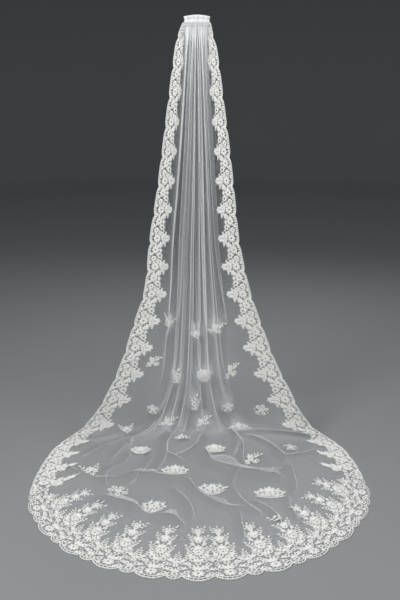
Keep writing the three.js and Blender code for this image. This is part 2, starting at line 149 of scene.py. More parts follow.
LEFT, RIGHT, MID_LEFT, MID_RIGHT, EVEN, FOLD, MID_RISE, MID_FORWARD, EDGE_RISE, EDGE_FORWARD = range(1, 11)
SECTIONS = np.array([
    # length down, then the ten columns named above
    [0.000, 0.050, 0.050, 0.040, 0.040, 0.00, 0.0024, 1.685, 0.000, 1.685, 0.000],
    [0.060, 0.068, 0.058, 0.042, 0.038, 0.00, 0.0060, 1.625, 0.004, 1.627, 0.002],
    [0.120, 0.080, 0.072, 0.044, 0.040, 0.00, 0.0150, 1.565, 0.007, 1.569, 0.004],
    [0.300, 0.105, 0.097, 0.054, 0.046, 0.00, 0.0280, 1.385, 0.008, 1.391, 0.006],
    [0.490, 0.130, 0.122, 0.068, 0.058, 0.00, 0.0330, 1.195, 0.008, 1.203, 0.008],
    [0.680, 0.155, 0.143, 0.084, 0.070, 0.00, 0.0360, 1.005, 0.008, 1.014, 0.011],
    [0.880, 0.186, 0.165, 0.102, 0.082, 0.00, 0.0380, 0.805, 0.008, 0.816, 0.018],
    [1.080, 0.208, 0.208, 0.112, 0.098, 0.00, 0.0380, 0.605, 0.008, 0.619, 0.028],
    [1.240, 0.256, 0.260, 0.120, 0.108, 0.00, 0.0360, 0.445, 0.008, 0.467, 0.040],
    [1.400, 0.306, 0.318, 0.128, 0.118, 0.00, 0.0320, 0.285, 0.008, 0.317, 0.058],
    [1.520, 0.355, 0.374, 0.142, 0.134, 0.05, 0.0270, 0.165, 0.008, 0.208, 0.076],
    [1.630, 0.410, 0.422, 0.168, 0.162, 0.20, 0.0190, 0.056, 0.010, 0.115, 0.096],
    [1.660, 0.430, 0.440, 0.180, 0.176, 0.27, 0.0160, 0.028, 0.018, 0.092, 0.102],
    [1.690, 0.450, 0.458, 0.192, 0.190, 0.35, 0.0130, 0.007, 0.039, 0.070, 0.108],
    [1.720, 0.472, 0.480, 0.206, 0.206, 0.43, 0.0110, 0.000, 0.066, 0.049, 0.115],
    [1.815, 0.550, 0.562, 0.290, 0.296, 0.70, 0.0070, 0.000, 0.156, 0.003, 0.158],
    [1.900, 0.574, 0.588, 0.350, 0.360, 0.86, 0.0040, 0.000, 0.237, 0.000, 0.238],
    [2.000, 0.588, 0.604, 0.410, 0.420, 0.96, 0.0020, 0.000, 0.332, 0.000, 0.332],
    [2.150, 0.599, 0.617, 0.480, 0.492, 1.00, 0.0008, 0.000, 0.474, 0.000, 0.474],
    [2.350, 0.599, 0.620, 0.480, 0.492, 1.00, 0.0000, 0.000, 0.665, 0.000, 0.665],
    [2.650, 0.578, 0.590, 0.480, 0.492, 1.00, 0.0000, 0.000, 0.952, 0.000, 0.952],
    [3.030, 0.574, 0.588, 0.480, 0.492, 1.00, 0.0000, 0.000, 1.316, 0.000, 1.316],
])
print("sections of the drape:", len(SECTIONS))

# %% [markdown]
# ## Reading between the rows
# A table has a row only where something changes. Between the rows its values follow a smooth curve
# through them, the way a bent batten passes through pins.


# %% A smooth curve through a table
def follow(table, column, t):
    """A column of a table at length t: a cubic through its rows, whose slope at each row is that of
    the line between the two rows beside it."""
    at, values = table[:, 0], table[:, column]
    rows = np.arange(len(at))
    before, after = np.maximum(rows - 1, 0), np.minimum(rows + 1, len(at) - 1)
    slopes = (values[after] - values[before]) / (at[after] - at[before])
    k = np.clip(np.searchsorted(at, t) - 1, 0, len(at) - 2)
    step = at[k + 1] - at[k]
    w = np.clip((t - at[k]) / step, 0, 1)
    ease = w * w * (3 - 2 * w)
    pull = slopes[k] * step * w * (1 - w) ** 2 - slopes[k + 1] * step * w * w * (1 - w)
    return values[k] + (values[k + 1] - values[k]) * ease + pull


print("height of the middle 1.3 metres down:", round(float(follow(SECTIONS, MID_RISE, 1.3)), 3))

# %% [markdown]
# ## One thread at a time
# A thread of the net has a place across the veil and a line down it. Both come from the table, and
# the direction square to the line is where pleats, ridges and lace stand out from the cloth.


# %% Threads across and down
STRIP_SLACK = 1.1
FOLD_SOFTNESS = 0.03
FLOOR_CLEARANCE = 0.0006


def spread(u, t):
    """Where thread u (-1 to 1) is across the veil, and its share of the fold depth. The threads are
    crowded in the folded middle and lie flat beside it, and a square root rounds the change."""
    reach, left = np.abs(u), u < 0
    edge = np.where(left, follow(SECTIONS, LEFT, t), follow(SECTIONS, RIGHT, t))
    mid = np.where(left, follow(SECTIONS, MID_LEFT, t), follow(SECTIONS, MID_RIGHT, t))
    even = follow(SECTIONS, EVEN, t)
    turnover = 1 - STRIP_SLACK * (edge - mid) / CUT_HALF_WIDTH
    past = reach - turnover
    root = np.hypot(past, FOLD_SOFTNESS)
    root_at_centre = np.hypot(turnover, FOLD_SOFTNESS)
    root_at_edge = np.hypot(1 - turnover, FOLD_SOFTNESS)
    bend = (past + root + turnover - root_at_centre) / 2
    bend_at_edge = (1 + root_at_edge - root_at_centre) / 2
    slope = mid / turnover
    bunched = slope * reach + (edge - slope) * bend / bend_at_edge
    x = np.where(left, -1, 1) * (bunched + (edge * reach - bunched) * even)
    return x, (1 - past / root) / 2


def line(u, t):
    """Rise and distance forward of thread u at length t: the middle's line passes into the edges' line
    with the fourth power of u."""
    weight = np.minimum(u**4, 1)
    mid_rise, edge_rise = follow(SECTIONS, MID_RISE, t), follow(SECTIONS, EDGE_RISE, t)
    mid_forward, edge_forward = follow(SECTIONS, MID_FORWARD, t), follow(SECTIONS, EDGE_FORWARD, t)
    rise = mid_rise + (edge_rise - mid_rise) * weight + FLOOR_CLEARANCE
    return rise, mid_forward + (edge_forward - mid_forward) * weight


def outward(u, t, reach=0.006):
    """The cloth's outward direction, forward and up parts: square to the thread's line."""
    rise_before, forward_before = line(u, t - reach)
    rise_after, forward_after = line(u, t + reach)
    down, ahead = rise_before - rise_after, forward_after - forward_before
    length = np.hypot(down, ahead)
    return down / length, np.maximum(ahead / length, 0)


print("edges across, 0.9 metres down:", np.round(spread(np.array([-1.0, 1.0]), 0.9)[0], 3))

# %% [markdown]
# ## Ridges on the floor
# Where the train was set down, soft ridges stand in the net. Each is a line on the flat cut from one
# end to the other, drawn over the photograph, with a width and a sideways bow.

# %% Ridges of the train
RIDGE_RISE = 0.22
RIDGE_LEAN = 0.7

RIDGES = [
    # s0, t0, s1, t1, width, bow
    (-0.436, 1.622, -0.422, 1.820, 0.042, -0.056),
    (-0.422, 1.820, -0.434, 1.954, 0.026, 0.000),
    (-0.496, 1.752, -0.586, 1.934, 0.026, -0.008),
    (-0.222, 1.758, -0.222, 2.148, 0.038, 0.032),
    (-0.250, 1.994, -0.318, 2.226, 0.034, 0.007),
    (-0.292, 2.176, -0.148, 2.192, 0.052, -0.002),
    (-0.362, 1.960, -0.436, 2.102, 0.028, 0.017),
    (-0.632, 2.090, -0.474, 2.208, 0.024, -0.004),
    (-0.474, 2.208, -0.312, 2.192, 0.024, -0.005),
    (-0.392, 2.412, -0.148, 2.560, 0.060, -0.006),
    (-0.438, 2.102, -0.436, 2.240, 0.024, -0.008),
    (-0.052, 2.220, 0.090, 2.446, 0.028, -0.018),
    (-0.110, 2.322, -0.032, 2.544, 0.026, 0.018),
    (-0.076, 1.960, 0.044, 1.782, 0.034, -0.021),
    (0.034, 1.930, 0.110, 2.088, 0.046, -0.032),
    (-0.160, 1.946, -0.088, 2.006, 0.024, 0.000),
    (0.460, 1.588, 0.178, 1.918, 0.028, -0.062),
    (0.278, 1.714, 0.210, 2.052, 0.028, -0.023),
    (0.338, 1.716, 0.672, 1.754, 0.026, 0.038),
    (0.352, 1.780, 0.416, 1.970, 0.030, 0.006),
    (0.416, 1.970, 0.614, 1.904, 0.026, -0.022),
    (0.342, 2.184, 0.424, 2.096, 0.024, 0.000),
    (0.426, 2.082, 0.416, 2.320, 0.026, 0.004),
    (0.072, 2.072, 0.306, 2.184, 0.062, -0.010),
    (0.162, 2.156, 0.140, 2.358, 0.024, -0.011),
    (0.150, 2.292, 0.250, 2.514, 0.028, -0.022),
    (0.024, 2.376, 0.178, 2.478, 0.028, -0.028),
    (0.252, 2.430, 0.340, 2.592, 0.026, 0.016),
    (0.386, 2.394, 0.410, 2.534, 0.024, -0.012),
    (0.170, 2.526, 0.182, 2.706, 0.024, 0.000),
    (0.270, 2.128, 0.350, 2.192, 0.024, 0.000),
    (-0.148, 2.560, -0.086, 2.604, 0.024, 0.000),
]


def ridges(s, t):
    """Height of the train's ridges, and how far each leans over sideways. Across its line, which bows by
    a half sine, a ridge is a bell that runs out at its ends; it rises and leans by shares of its width."""
    height, aside, ahead = np.zeros((3, *np.shape(s * t)))
    for s0, t0, s1, t1, width, bow in RIDGES:
        along_s, along_t = s1 - s0, t1 - t0
        length = np.hypot(along_s, along_t)
        way_s, way_t = along_s / length, along_t / length
        w = ((s - s0) * way_s + (t - t0) * way_t) / length
        beside = (t - t0) * way_s - (s - s0) * way_t + bow * np.sin(np.pi * np.clip(w, -0.2, 1.2))
        past = np.maximum(np.abs(w - 0.5) - 0.5, 0) * length
        bump = width * np.exp(-((2 * beside / width) ** 2) - (past / width) ** 2)
        height += RIDGE_RISE * bump
        aside += RIDGE_LEAN * bump * way_t
        ahead -= RIDGE_LEAN * bump * way_s
    return height, aside, ahead


print("ridges:", len(RIDGES))

# %% [markdown]
# ## Places of the sprays
# Small lace sprays are sewn on over the lower half, every one at its own size and turn. Their places
# come before the pleats, because under its stitches the cloth lies flat.

# %% Sprays, and how they hold the cloth
SPRAY_MARGIN = 0.7

SPRAYS = [
    # kind, x, t, width, length, turn
    ("wisp", -0.115, 1.207, 0.046, 0.060, 10),
    ("butterfly", -0.004, 1.253, 0.046, 0.056, -20),
    ("sprig", 0.080, 1.230, 0.056, 0.060, 15),
    ("sprig", -0.179, 1.384, 0.056, 0.056, 0),
    ("wisp", -0.084, 1.443, 0.044, 0.066, 0),
    ("fan", 0.029, 1.434, 0.064, 0.066, 8),
    ("sprig", 0.144, 1.419, 0.050, 0.076, 0),
    ("posy", -0.187, 1.593, 0.056, 0.044, 0),
    ("wisp", -0.008, 1.559, 0.046, 0.076, 0),
    ("posy", 0.128, 1.575, 0.058, 0.046, 0),
    ("posy", 0.269, 1.602, 0.070, 0.052, 20),
    ("butterfly", -0.295, 1.690, 0.060, 0.054, -10),
    ("sprig", -0.121, 1.640, 0.056, 0.070, 12),
    ("sprig", 0.025, 1.640, 0.060, 0.062, -12),
    ("wisp", -0.064, 1.782, 0.058, 0.070, 45),
    ("sprig", 0.180, 1.674, 0.072, 0.062, 30),
    ("fan", -0.226, 1.919, 0.078, 0.098, 0),
    ("crest", 0.072, 1.899, 0.084, 0.110, -6),
    ("posy", 0.378, 1.868, 0.064, 0.096, 0),
    ("sprig", 0.219, 1.994, 0.066, 0.140, 0),
    ("butterfly", -0.403, 2.120, 0.076, 0.134, -15),
    ("crest", -0.083, 2.122, 0.104, 0.128, 0),
    ("posy", -0.285, 2.320, 0.078, 0.112, -25),
    ("fan", 0.057, 2.310, 0.102, 0.126, 0),
    ("crest", 0.265, 2.341, 0.112, 0.132, 0),
    ("fan", -0.154, 2.472, 0.086, 0.138, 18),
]


def held_flat(x, t):
    """How much a sewn-on spray holds the cloth flat at a place: one under it, falling steeply round it."""
    held = np.zeros_like(x * t)
    for _, x0, t0, width, length, _ in SPRAYS:
        away = ((x - x0) / (SPRAY_MARGIN * width)) ** 2 + ((t - t0) / (SPRAY_MARGIN * length)) ** 2
        held = np.maximum(held, np.exp(-away * away))
    return held


print("sprays:", len(SPRAYS))

# %% [markdown]
# ## Pleats
# Gathered net falls in deep pleats that lean over each other, so a look through the middle passes
# many layers and turns white, while the single layer at the sides stays sheer. Each pleat is a
# wave; fine gathers below the comb and ripples in the pleats are smaller waves on top of it.

# %% Waves of the pleats
FOLDS = 9
FOLDED_PART = 0.9
FOLD_UNEVENNESS = 1.5
FOLD_WANDER = 0.9
GATHER_FADE = 0.11
GATHERS = 46
GATHER_DEPTH = 0.0024
RIPPLES = 27
RIPPLE_DEPTH = 0.0052
RIPPLE_START = 0.2


def fold_wave(u, t):
    """The pleats' wave from -1 to 1: a sine of u with a smaller one at twice its pace. Both wander, and
    the wave swells and shrinks from place to place, so that no two pleats are alike. The bare numbers
    are the paces, starts and sizes of these waves, none in step with another."""
    phase = np.pi * FOLDS * u / FOLDED_PART
    phase = phase + FOLD_UNEVENNESS * np.sin(5.3 * u + 0.7 + 0.5 * t / FOLD_WANDER) + 0.6 * np.sin(12 * u - t)
    swell = 0.8 + 0.2 * np.sin(8.3 * u + 1.9 + 0.4 * t)
    return swell * (0.86 * np.sin(phase) + 0.24 * np.sin(2 * phase + 2.1 * np.sin(3 * u + 0.8 * t)))


def small_folds(u, t):
    """Depth of the fine gathers below the comb, which fade with length, and of ripples in the pleats."""
    gathers = GATHER_DEPTH * np.exp(-t / GATHER_FADE) * np.sin(np.pi * GATHERS * u + 3 * np.sin(5 * u))
    wander = 1.7 * np.sin(11 * u + 1.3 * t) + 0.9 * np.sin(2.6 * t)
    return gathers + RIPPLE_DEPTH * (1 - np.exp(-t / RIPPLE_START)) * np.sin(np.pi * RIPPLES * u + wander)


print("waves across the folded part:", FOLDS)

# %% [markdown]
# ## The whole drape
# Everything meets in one function, which the net, the lace and the sprays all use, so that they fit
# each other. Leaning a pleat sideways by part of its own depth lays pleat over pleat without ever
# passing the cloth through itself.

# %% From the flat cut to the room
CLOTH_PLANE = 0.0053
FOLD_LEAN = 0.62
LEAN_PACE = 4.2
LEAN_START = 0.6
HALVINGS = 24


def cloth(s, t, lift=0.0):
    """A point of the flat cut in its place: the thread's line, pushed outward by folds and ridges. The
    folds lean sideways where the cloth hangs, and the ridges lean over where it lies."""
    u = s / CUT_HALF_WIDTH
    x, depth = spread(u, t)
    rise, forward = line(u, t)
    out, up = outward(u, t)
    held = held_flat(x, t)
    fold = follow(SECTIONS, FOLD, t) * depth
    wave = fold_wave(u, t) * (1 - held)
    fine = small_folds(u, t) * depth * (1 - held) * out
    ridge, aside, ahead = (1 - held) * np.array(ridges(s, t))
    push = fold * (wave + held + up) + fine + ridge * up + lift
    x = x + FOLD_LEAN * fold * wave * out * np.sin(LEAN_PACE * u + LEAN_START) + aside * up
    y = -CLOTH_PLANE - forward - push * out - ahead * up
    return np.stack([x, y, rise + push * up - COMB_HEIGHT], axis=-1)


def thread_at(x, t):
    """The thread that passes x at length t, by halving."""
    low, high = -np.ones_like(x), np.ones_like(x)
    for _ in range(HALVINGS):
        middle = (low + high) / 2
        left = spread(middle, t)[0] < x
        low, high = np.where(left, middle, low), np.where(left, high, middle)
    return (low + high) / 2


print("middle of the hem:", np.round(cloth(np.zeros(1), np.full(1, CUT_STRAIGHT + CUT_ROUND)), 3))

# %% [markdown]
# ## Materials
# A material in Blender is a graph of nodes that ends in a shader. The same few groups come back in
# every finish here: the UV map's numbers, a cloudy noise, a tint and a bump. Each gets a helper, so
# that a finish below reads like its recipe.


# %% Node helpers
def material_nodes(name):
    """A new material with its node tree and its shader."""
    material = bpy.data.materials.new(name)
    material.use_nodes = True
    tree = material.node_tree
    shader = tree.nodes["Principled BSDF"]
    return material, tree, shader


def math(tree, operation, first, second=None):
    """A Math node whose inputs are sockets or numbers."""
    node = tree.nodes.new("ShaderNodeMath")
    node.operation = operation
    for socket, value in zip(node.inputs, (first, second)):
        if isinstance(value, bpy.types.NodeSocket):
            tree.links.new(value, socket)
        elif value is not None:
            socket.default_value = value
    return node.outputs[0]


def cut_uv(tree):
    """The two numbers of the UV map, in metres."""
    uv = tree.nodes.new("ShaderNodeUVMap")
    uv.uv_map = "cut"
    split = tree.nodes.new("ShaderNodeSeparateXYZ")
    tree.links.new(uv.outputs[0], split.inputs[0])
    return split.outputs[0], split.outputs[1]


def noise_value(tree, scale, detail=2, stretch=None):
    """Cloudy noise that stays with the piece. The stretch multiplies its place along each axis first."""
    place = tree.nodes.new("ShaderNodeTexCoord").outputs["Object"]
    if stretch:
        mapping = tree.nodes.new("ShaderNodeMapping")
        mapping.inputs["Scale"].default_value = stretch
        tree.links.new(place, mapping.inputs[0])
        place = mapping.outputs[0]
    noise = tree.nodes.new("ShaderNodeTexNoise")
    noise.inputs["Scale"].default_value = scale
    noise.inputs["Detail"].default_value = detail
    tree.links.new(place, noise.inputs["Vector"])
    return noise.outputs[0]


def tint(tree, shader, value, dark, light, start=0.0, end=1.0):
    """Base colour that passes from dark to light while the value goes from start to end."""
    ramp = tree.nodes.new("ShaderNodeValToRGB")
    low, high = ramp.color_ramp.elements
    low.position, low.color = start, dark
    high.position, high.color = end, light
    tree.links.new(value, ramp.inputs[0])
    tree.links.new(ramp.outputs[0], shader.inputs["Base Color"])


def roughen(tree, shader, value, strength, distance):
    """Bump that shades the surface as if the value raised it by the distance."""
    bump = tree.nodes.new("ShaderNodeBump")
    bump.inputs["Strength"].default_value = strength
    bump.inputs["Distance"].default_value = distance
    tree.links.new(value, bump.inputs["Height"])
    tree.links.new(bump.outputs[0], shader.inputs["Normal"])


helpers = (material_nodes, math, cut_uv, noise_value, tint, roughen)
print("node helpers:", [helper.__name__ for helper in helpers])

# %% [markdown]
# ## Tulle
# Tulle is a net of very fine white threads with six-sided holes of under two millimetres: a pale
# veil from afar, threads close up. Modelling millions of threads is out of the question, and plain
# transparency would look like film, so the material draws threads from the UV map, at their real
# size, and leaves the rest clear.

# %% Tulle: threads of a six-sided net
NET_HOLE = 0.0018
THREAD_SHARE = 0.028
TULLE_COLOUR = (0.93, 0.94, 0.95, 1)


def tulle_material():
    """The net as three families of parallel lines 60 degrees apart, opaque on the lines only. Where the
    mesh says that the net is crowded, its threads cover more."""
    material, tree, shader = material_nodes("tulle")
    cut_s, cut_t = cut_uv(tree)
    crowd = tree.nodes.new("ShaderNodeAttribute")
    crowd.attribute_name = "crowding"
    share = math(tree, "MULTIPLY", crowd.outputs["Fac"], THREAD_SHARE)
    opacity = 0.0
    for angle in (0, 60, 120):
        across = math(tree, "MULTIPLY", cut_s, np.cos(np.radians(angle)) / NET_HOLE)
        along = math(tree, "MULTIPLY", cut_t, np.sin(np.radians(angle)) / NET_HOLE)
        place = math(tree, "FRACT", math(tree, "ADD", across, along))
        thread = math(tree, "LESS_THAN", place, share)
        opacity = math(tree, "MAXIMUM", opacity, thread)
    tree.links.new(opacity, shader.inputs["Alpha"])
    shader.inputs["Base Color"].default_value = TULLE_COLOUR
    shader.inputs["Roughness"].default_value = 0.6
    shader.inputs["Sheen Weight"].default_value = 0.6
    shader.inputs["Sheen Roughness"].default_value = 0.4
    return material


TULLE = tulle_material()
bpy.context.scene.cycles.transparent_max_bounces = 96
print("material:", TULLE.name)

# %% [markdown]
# ## Lace thread
# Lace is embroidered with matt cotton and viscose thread laid side by side. Hair strands could show
# it, but a wave across the UV map costs nothing and turns with every petal and cord. The wave also
# darkens the colour in the grooves between the threads: painted shade.

# %% Lace: thread laid along each petal
LACE_COLOUR = (0.92, 0.915, 0.89, 1)
# the darker colour is painted shade in the grooves between threads, and the darker grain
LACE_GROOVE_SHADE_AND_DARK_GRAIN = (0.80, 0.79, 0.76, 1)
THREAD_PITCH = 0.0006
THREAD_GROOVE_SHADE = 0.55
GRAIN_TONE = 0.6


def lace_material():
    """Matt white with thread lines across the UV's second direction, as bump and as painted shade
    in the grooves between threads, with a random grain in the colour.
    """
    material, tree, shader = material_nodes("lace")
    turns = math(tree, "MULTIPLY", cut_uv(tree)[1], 2 * np.pi / THREAD_PITCH)
    ridge = math(tree, "ABSOLUTE", math(tree, "SINE", turns))
    grain = math(tree, "MULTIPLY", noise_value(tree, 160, 3), GRAIN_TONE)
    # painted shade: the colour darkens in the grooves between threads, plus a random grain
    groove_shade_and_grain = math(tree, "ADD", math(tree, "MULTIPLY", ridge, THREAD_GROOVE_SHADE), grain)
    tint(tree, shader, groove_shade_and_grain, LACE_GROOVE_SHADE_AND_DARK_GRAIN, LACE_COLOUR, 0.15, 0.75)
    roughen(tree, shader, ridge, 0.6, 0.0004)
    shader.inputs["Roughness"].default_value = 0.72
    shader.inputs["Sheen Weight"].default_value = 0.3
    return material


LACE = lace_material()
print("material:", LACE.name)

# %% [markdown]
# ## Gathered net and plastic
# At the heading many layers of net lie pressed together, nearly opaque and streaked along the
# gathers; the streaks are partly uneven layers and partly painted shade, darker in the hollows
# between gathers. The comb is cheap clear-white plastic. Both are one shader with a noise: the
# first stretched into streaks, the second a faint cloud under a glossy coat.

# %% Heading and comb
HEADING_STREAKS = (900, 900, 60)
HEADING_FOOT = 0.0262
FOOT_FADE = 44
FOOT_RAGGED = 1.2


def heading_material():
    """Many layers of net pressed together: nearly opaque white, streaked along the gathers, and thinning
    out towards a ragged foot. The streaks darken the colour where their bump is low: partly uneven
    layers, partly painted shade between gathers. The UV's second number is the height."""
    material, tree, shader = material_nodes("gathered_tulle")
    streaks = noise_value(tree, 1.0, 4, HEADING_STREAKS)
    # partly painted shade: darker where the streaks' bump is low, between gathers; partly uneven layers
    tint(tree, shader, streaks, (0.68, 0.69, 0.70, 1), (0.84, 0.84, 0.84, 1), 0.3, 0.62)
    above_foot = math(tree, "MULTIPLY", math(tree, "ADD", cut_uv(tree)[1], HEADING_FOOT), FOOT_FADE)
    solid = math(tree, "ADD", above_foot, math(tree, "MULTIPLY", streaks, FOOT_RAGGED))
    solid = math(tree, "SUBTRACT", solid, FOOT_RAGGED / 2)
    tree.links.new(math(tree, "MINIMUM", solid, 1.0), shader.inputs["Alpha"])
    roughen(tree, shader, streaks, 0.8, 0.0007)
    shader.inputs["Roughness"].default_value = 0.7
    shader.inputs["Sheen Weight"].default_value = 0.2
    return material


def comb_material():
    """Clear-white moulded plastic with a faint cloud in it."""
    material, tree, shader = material_nodes("comb_plastic")
    tint(tree, shader, noise_value(tree, 90), (0.70, 0.73, 0.76, 1), (0.90, 0.91, 0.92, 1))
    shader.inputs["Roughness"].default_value = 0.18
    shader.inputs["Transmission Weight"].default_value = 0.35
    shader.inputs["Coat Weight"].default_value = 0.5
    return material


HEADING = heading_material()
COMB = comb_material()
print("materials:", HEADING.name, COMB.name)

# %% [markdown]
# ## The net
# One grid carries the whole veil, from the heading to the hem. Its columns are threads; past the
# straight part its rows turn into arcs, so the last row is the round hem itself. It stays a single
# layer: a real net has no thickness worth the name, and a second layer would double its whiteness.
# Folds too small for the mesh crowd more net into the same place, so an attribute tells the material
# how much cloth lies over each spot, and the threads widen there: bunched net turns white.

# %% Make the net
NET_START = 0.0105
NET_COLUMNS = 300
HUNG_ROWS = 80
LAID_ROWS = 130
HEM_ROWS = 120
LAID_FROM = 1.6
CORNER_COSINE = 0.5
MOST_CROWDED = np.array([
    # length, most
    [0.05, 28.0],
    [0.30, 15.0],
    [1.45, 15.0],
    [1.75, 6.0],
])
TOP_CROWD_FADE = 0.08
LEAST_CROWDED = 0.6


def cut_grid():
    """The flat cut's points: straight rows, closer together on the floor, then rows that round off to
    the half-ellipse of the hem."""
    c = np.linspace(-1, 1, NET_COLUMNS)[:, None]
    hung = np.linspace(NET_START, LAID_FROM, HUNG_ROWS, endpoint=False)
    straight = np.concatenate([hung, np.linspace(LAID_FROM, CUT_STRAIGHT, LAID_ROWS)])[None, :]
    part = np.linspace(0, 1, HEM_ROWS + 1)[None, 1:]
    half = CUT_HALF_WIDTH * np.sqrt(1 - (CORNER_COSINE * part) ** 2)
    drop = CUT_ROUND * part * np.sqrt(1 - c * c * (1 - CORNER_COSINE**2))
    s = np.concatenate([c * CUT_HALF_WIDTH + 0 * straight, c * half], axis=1)
    t = np.concatenate([straight + 0 * c, CUT_STRAIGHT + drop], axis=1)
    return s, t


def crowding(s, t, points):
    """Area of the flat cut over the area that it covers, seen square to the smooth unfolded surface.
    Close below the comb the gathers' own inner layers add as much again."""
    (s_i, s_j), (t_i, t_j) = np.gradient(s), np.gradient(t)
    across, down = np.gradient(points, axis=0), np.gradient(points, axis=1)
    out, up = outward(s / CUT_HALF_WIDTH, t)
    square = np.cross(across, down)
    covered = np.abs(up * square[..., 2] - out * square[..., 1])
    cut = np.abs(s_i * t_j - s_j * t_i)
    crowd = cut / np.maximum(covered, 1e-9) * (1 + np.exp(-t / TOP_CROWD_FADE))
    return np.clip(crowd, LEAST_CROWDED, np.interp(t, MOST_CROWDED[:, 0], MOST_CROWDED[:, 1]))


net_s, net_t = cut_grid()
net_points = cloth(net_s, net_t)
net = new_piece(
    "tulle_net",
    net_points,
    grid_faces(NET_COLUMNS, net_s.shape[1]),
    np.stack([net_s, net_t], axis=-1),
    TULLE,
)
crowd = crowding(net_s, net_t, net_points)
layer = net.data.attributes.new("crowding", "FLOAT", "POINT")
layer.data.foreach_set("value", crowd.astype(np.float32).ravel())
print("crowding from", round(crowd.min(), 2), "to", round(crowd.max(), 2))
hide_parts("tulle")
print("net quads:", len(net.data.polygons))

# %% [markdown]
# ## The parts of a lace motif
# Machine lace is built from few shapes: filled petals and leaves, and cords laid along a drawn
# line. A picture of lace on the cloth would be flat up close, so both are modelled. They are worked
# out in flat motif coordinates in millimetres (p along, q across, h above the net), many at once,
# and only then carried onto the cloth, so they follow each fold.

# %% Petals and leaves in flat coordinates
MM = 0.001
LEAF_POINTS = 11
LEAF_STATIONS = np.array([0.22, 0.55, 0.85])
LEAF_HALF_WIDTHS = np.array([0.72, 1.0, 0.66])
LEAF_HEIGHTS = np.array([0.75, 1.0, 0.6])
STITCH_SLANT = 0.8
LEAF_QUADS = [(2, 5, 4, 1), (3, 6, 5, 2), (5, 8, 7, 4), (6, 9, 8, 5), (1, 4, 6, 3), (4, 7, 9, 6)]
LEAF_TRIANGLES = [(0, 2, 1), (0, 3, 2), (8, 10, 7), (9, 10, 8), (0, 1, 3), (7, 10, 9)]


def leaf_points(leaves):
    """Petals and leaves as low closed domes. A row of leaves is p, q, direction, length, width, height;
    its eleven points are the base, three stations of left rim, ridge and right rim, and the tip."""
    p, q, direction, length, width, height = leaves.T
    along, across, rise = np.zeros((3, len(leaves), LEAF_POINTS))
    for station in range(3):
        for column, side in enumerate((1, 0, -1)):
            at = 1 + station * 3 + column
            along[:, at] = LEAF_STATIONS[station] * length
            across[:, at] = side * LEAF_HALF_WIDTHS[station] * width / 2
            rise[:, at] = (side == 0) * LEAF_HEIGHTS[station] * height
    along[:, -1] = length
    cos, sin = np.cos(direction)[:, None], np.sin(direction)[:, None]
    place_p = p[:, None] + along * cos - across * sin
    place_q = q[:, None] + along * sin + across * cos
    stitch = np.stack([across, along + STITCH_SLANT * np.abs(across)], -1)
    return np.stack([place_p, place_q, rise], -1), stitch * MM


def leaf_faces(count):
    """Faces of all leaves at once: the same six quads and six triangles, moved on by eleven points."""
    start = (np.arange(count) * LEAF_POINTS)[:, None, None]
    quads = (start + np.array(LEAF_QUADS)[None]).reshape(-1, 4)
    triangles = (start + np.array(LEAF_TRIANGLES)[None]).reshape(-1, 3)
    return quads, triangles


print("faces of a leaf:", len(LEAF_QUADS) + len(LEAF_TRIANGLES))

# %% Cords in flat coordinates
CORD_STATIONS = 9
CORD_SIDES = 4
CORD_RIM = np.array([1.0, 0.0, -1.0, 0.0])
CORD_RISE = np.array([0.5, 1.1, 0.5, 0.0])


def cord_points(paths, radius):
    """Cords as four-sided tubes along (m, k, 2) paths: left rim, top, right rim and underside of each
    ring stand square to the path."""
    tangent = np.gradient(paths, axis=1)
    tangent = tangent / np.maximum(np.linalg.norm(tangent, axis=2, keepdims=True), 1e-9)
    normal = np.stack([-tangent[..., 1], tangent[..., 0]], -1)
    reach = CORD_RIM[None, None, :, None] * radius[:, None, None, None]
    flat = paths[:, :, None, :] + normal[:, :, None, :] * reach
    rise = np.broadcast_to(CORD_RISE * radius[:, None, None], flat.shape[:3])
    steps = np.linalg.norm(np.diff(paths, axis=1), axis=2)
    travelled = np.concatenate([np.zeros((len(paths), 1)), np.cumsum(steps, axis=1)], axis=1)
    around = np.arange(CORD_SIDES)[None, None, :] * radius[:, None, None]
    twist = travelled[:, :, None] + around
    return np.concatenate([flat, rise[..., None]], -1), np.stack([0 * twist, twist], -1) * MM


print("points of a cord:", CORD_STATIONS * CORD_SIDES)

# %% [markdown]
# ## Flowers, fronds and curls
# A rose is rings of petals, each ring turned against the one outside it and raised a little. A
# frond is a bowed stem with pairs of leaves that shrink towards its tip. A curl is a spiral.
# Each function returns a motif: rows of leaves, the cords' paths and the cords' radii.

# %% Flowers
LEAF_HEIGHT = 1.9
FLOWER_EYE = 0.24
PETAL_SHARE = 0.78
RING_SIZE = 0.6
RING_TURN = 0.5
RING_RISE = 0.9
NO_LEAVES = np.zeros((0, 6))
NO_CORDS = np.zeros((0, CORD_STATIONS, 2))
NO_RADII = np.zeros(0)


def joined(*motifs):
    """One motif of several."""
    return tuple(np.concatenate(parts) for parts in zip(*motifs))


def leaf_rows(p, q, angle, length, width, height=LEAF_HEIGHT):
    """Rows of the six numbers of a leaf, from numbers or arrays of them."""
    return np.stack(np.broadcast_arrays(p, q, angle, length, width, height), axis=-1).reshape(-1, 6)


def flower(p, q, radius, petals=6, rings=1, turn=0.0):
    """Rings of petals round a small open eye: each ring is a fixed share of the one outside it, turned
    against it, and stands higher."""
    rows = []
    for ring in range(rings):
        size = radius * RING_SIZE**ring
        count = petals - ring
        angle = 2 * np.pi * np.arange(count) / count + turn + RING_TURN * ring
        base = FLOWER_EYE * radius * (0.5 if ring else 1)
        wide = 2 * np.pi * PETAL_SHARE * size / count
        petal_p, petal_q = p + base * np.cos(angle), q + base * np.sin(angle)
        rows.append(leaf_rows(petal_p, petal_q, angle, size - base, wide, LEAF_HEIGHT + RING_RISE * ring))
    return np.concatenate(rows), NO_CORDS, NO_RADII


print("a rose has", len(flower(0, 0, 1, 7, 3)[0]), "petals")

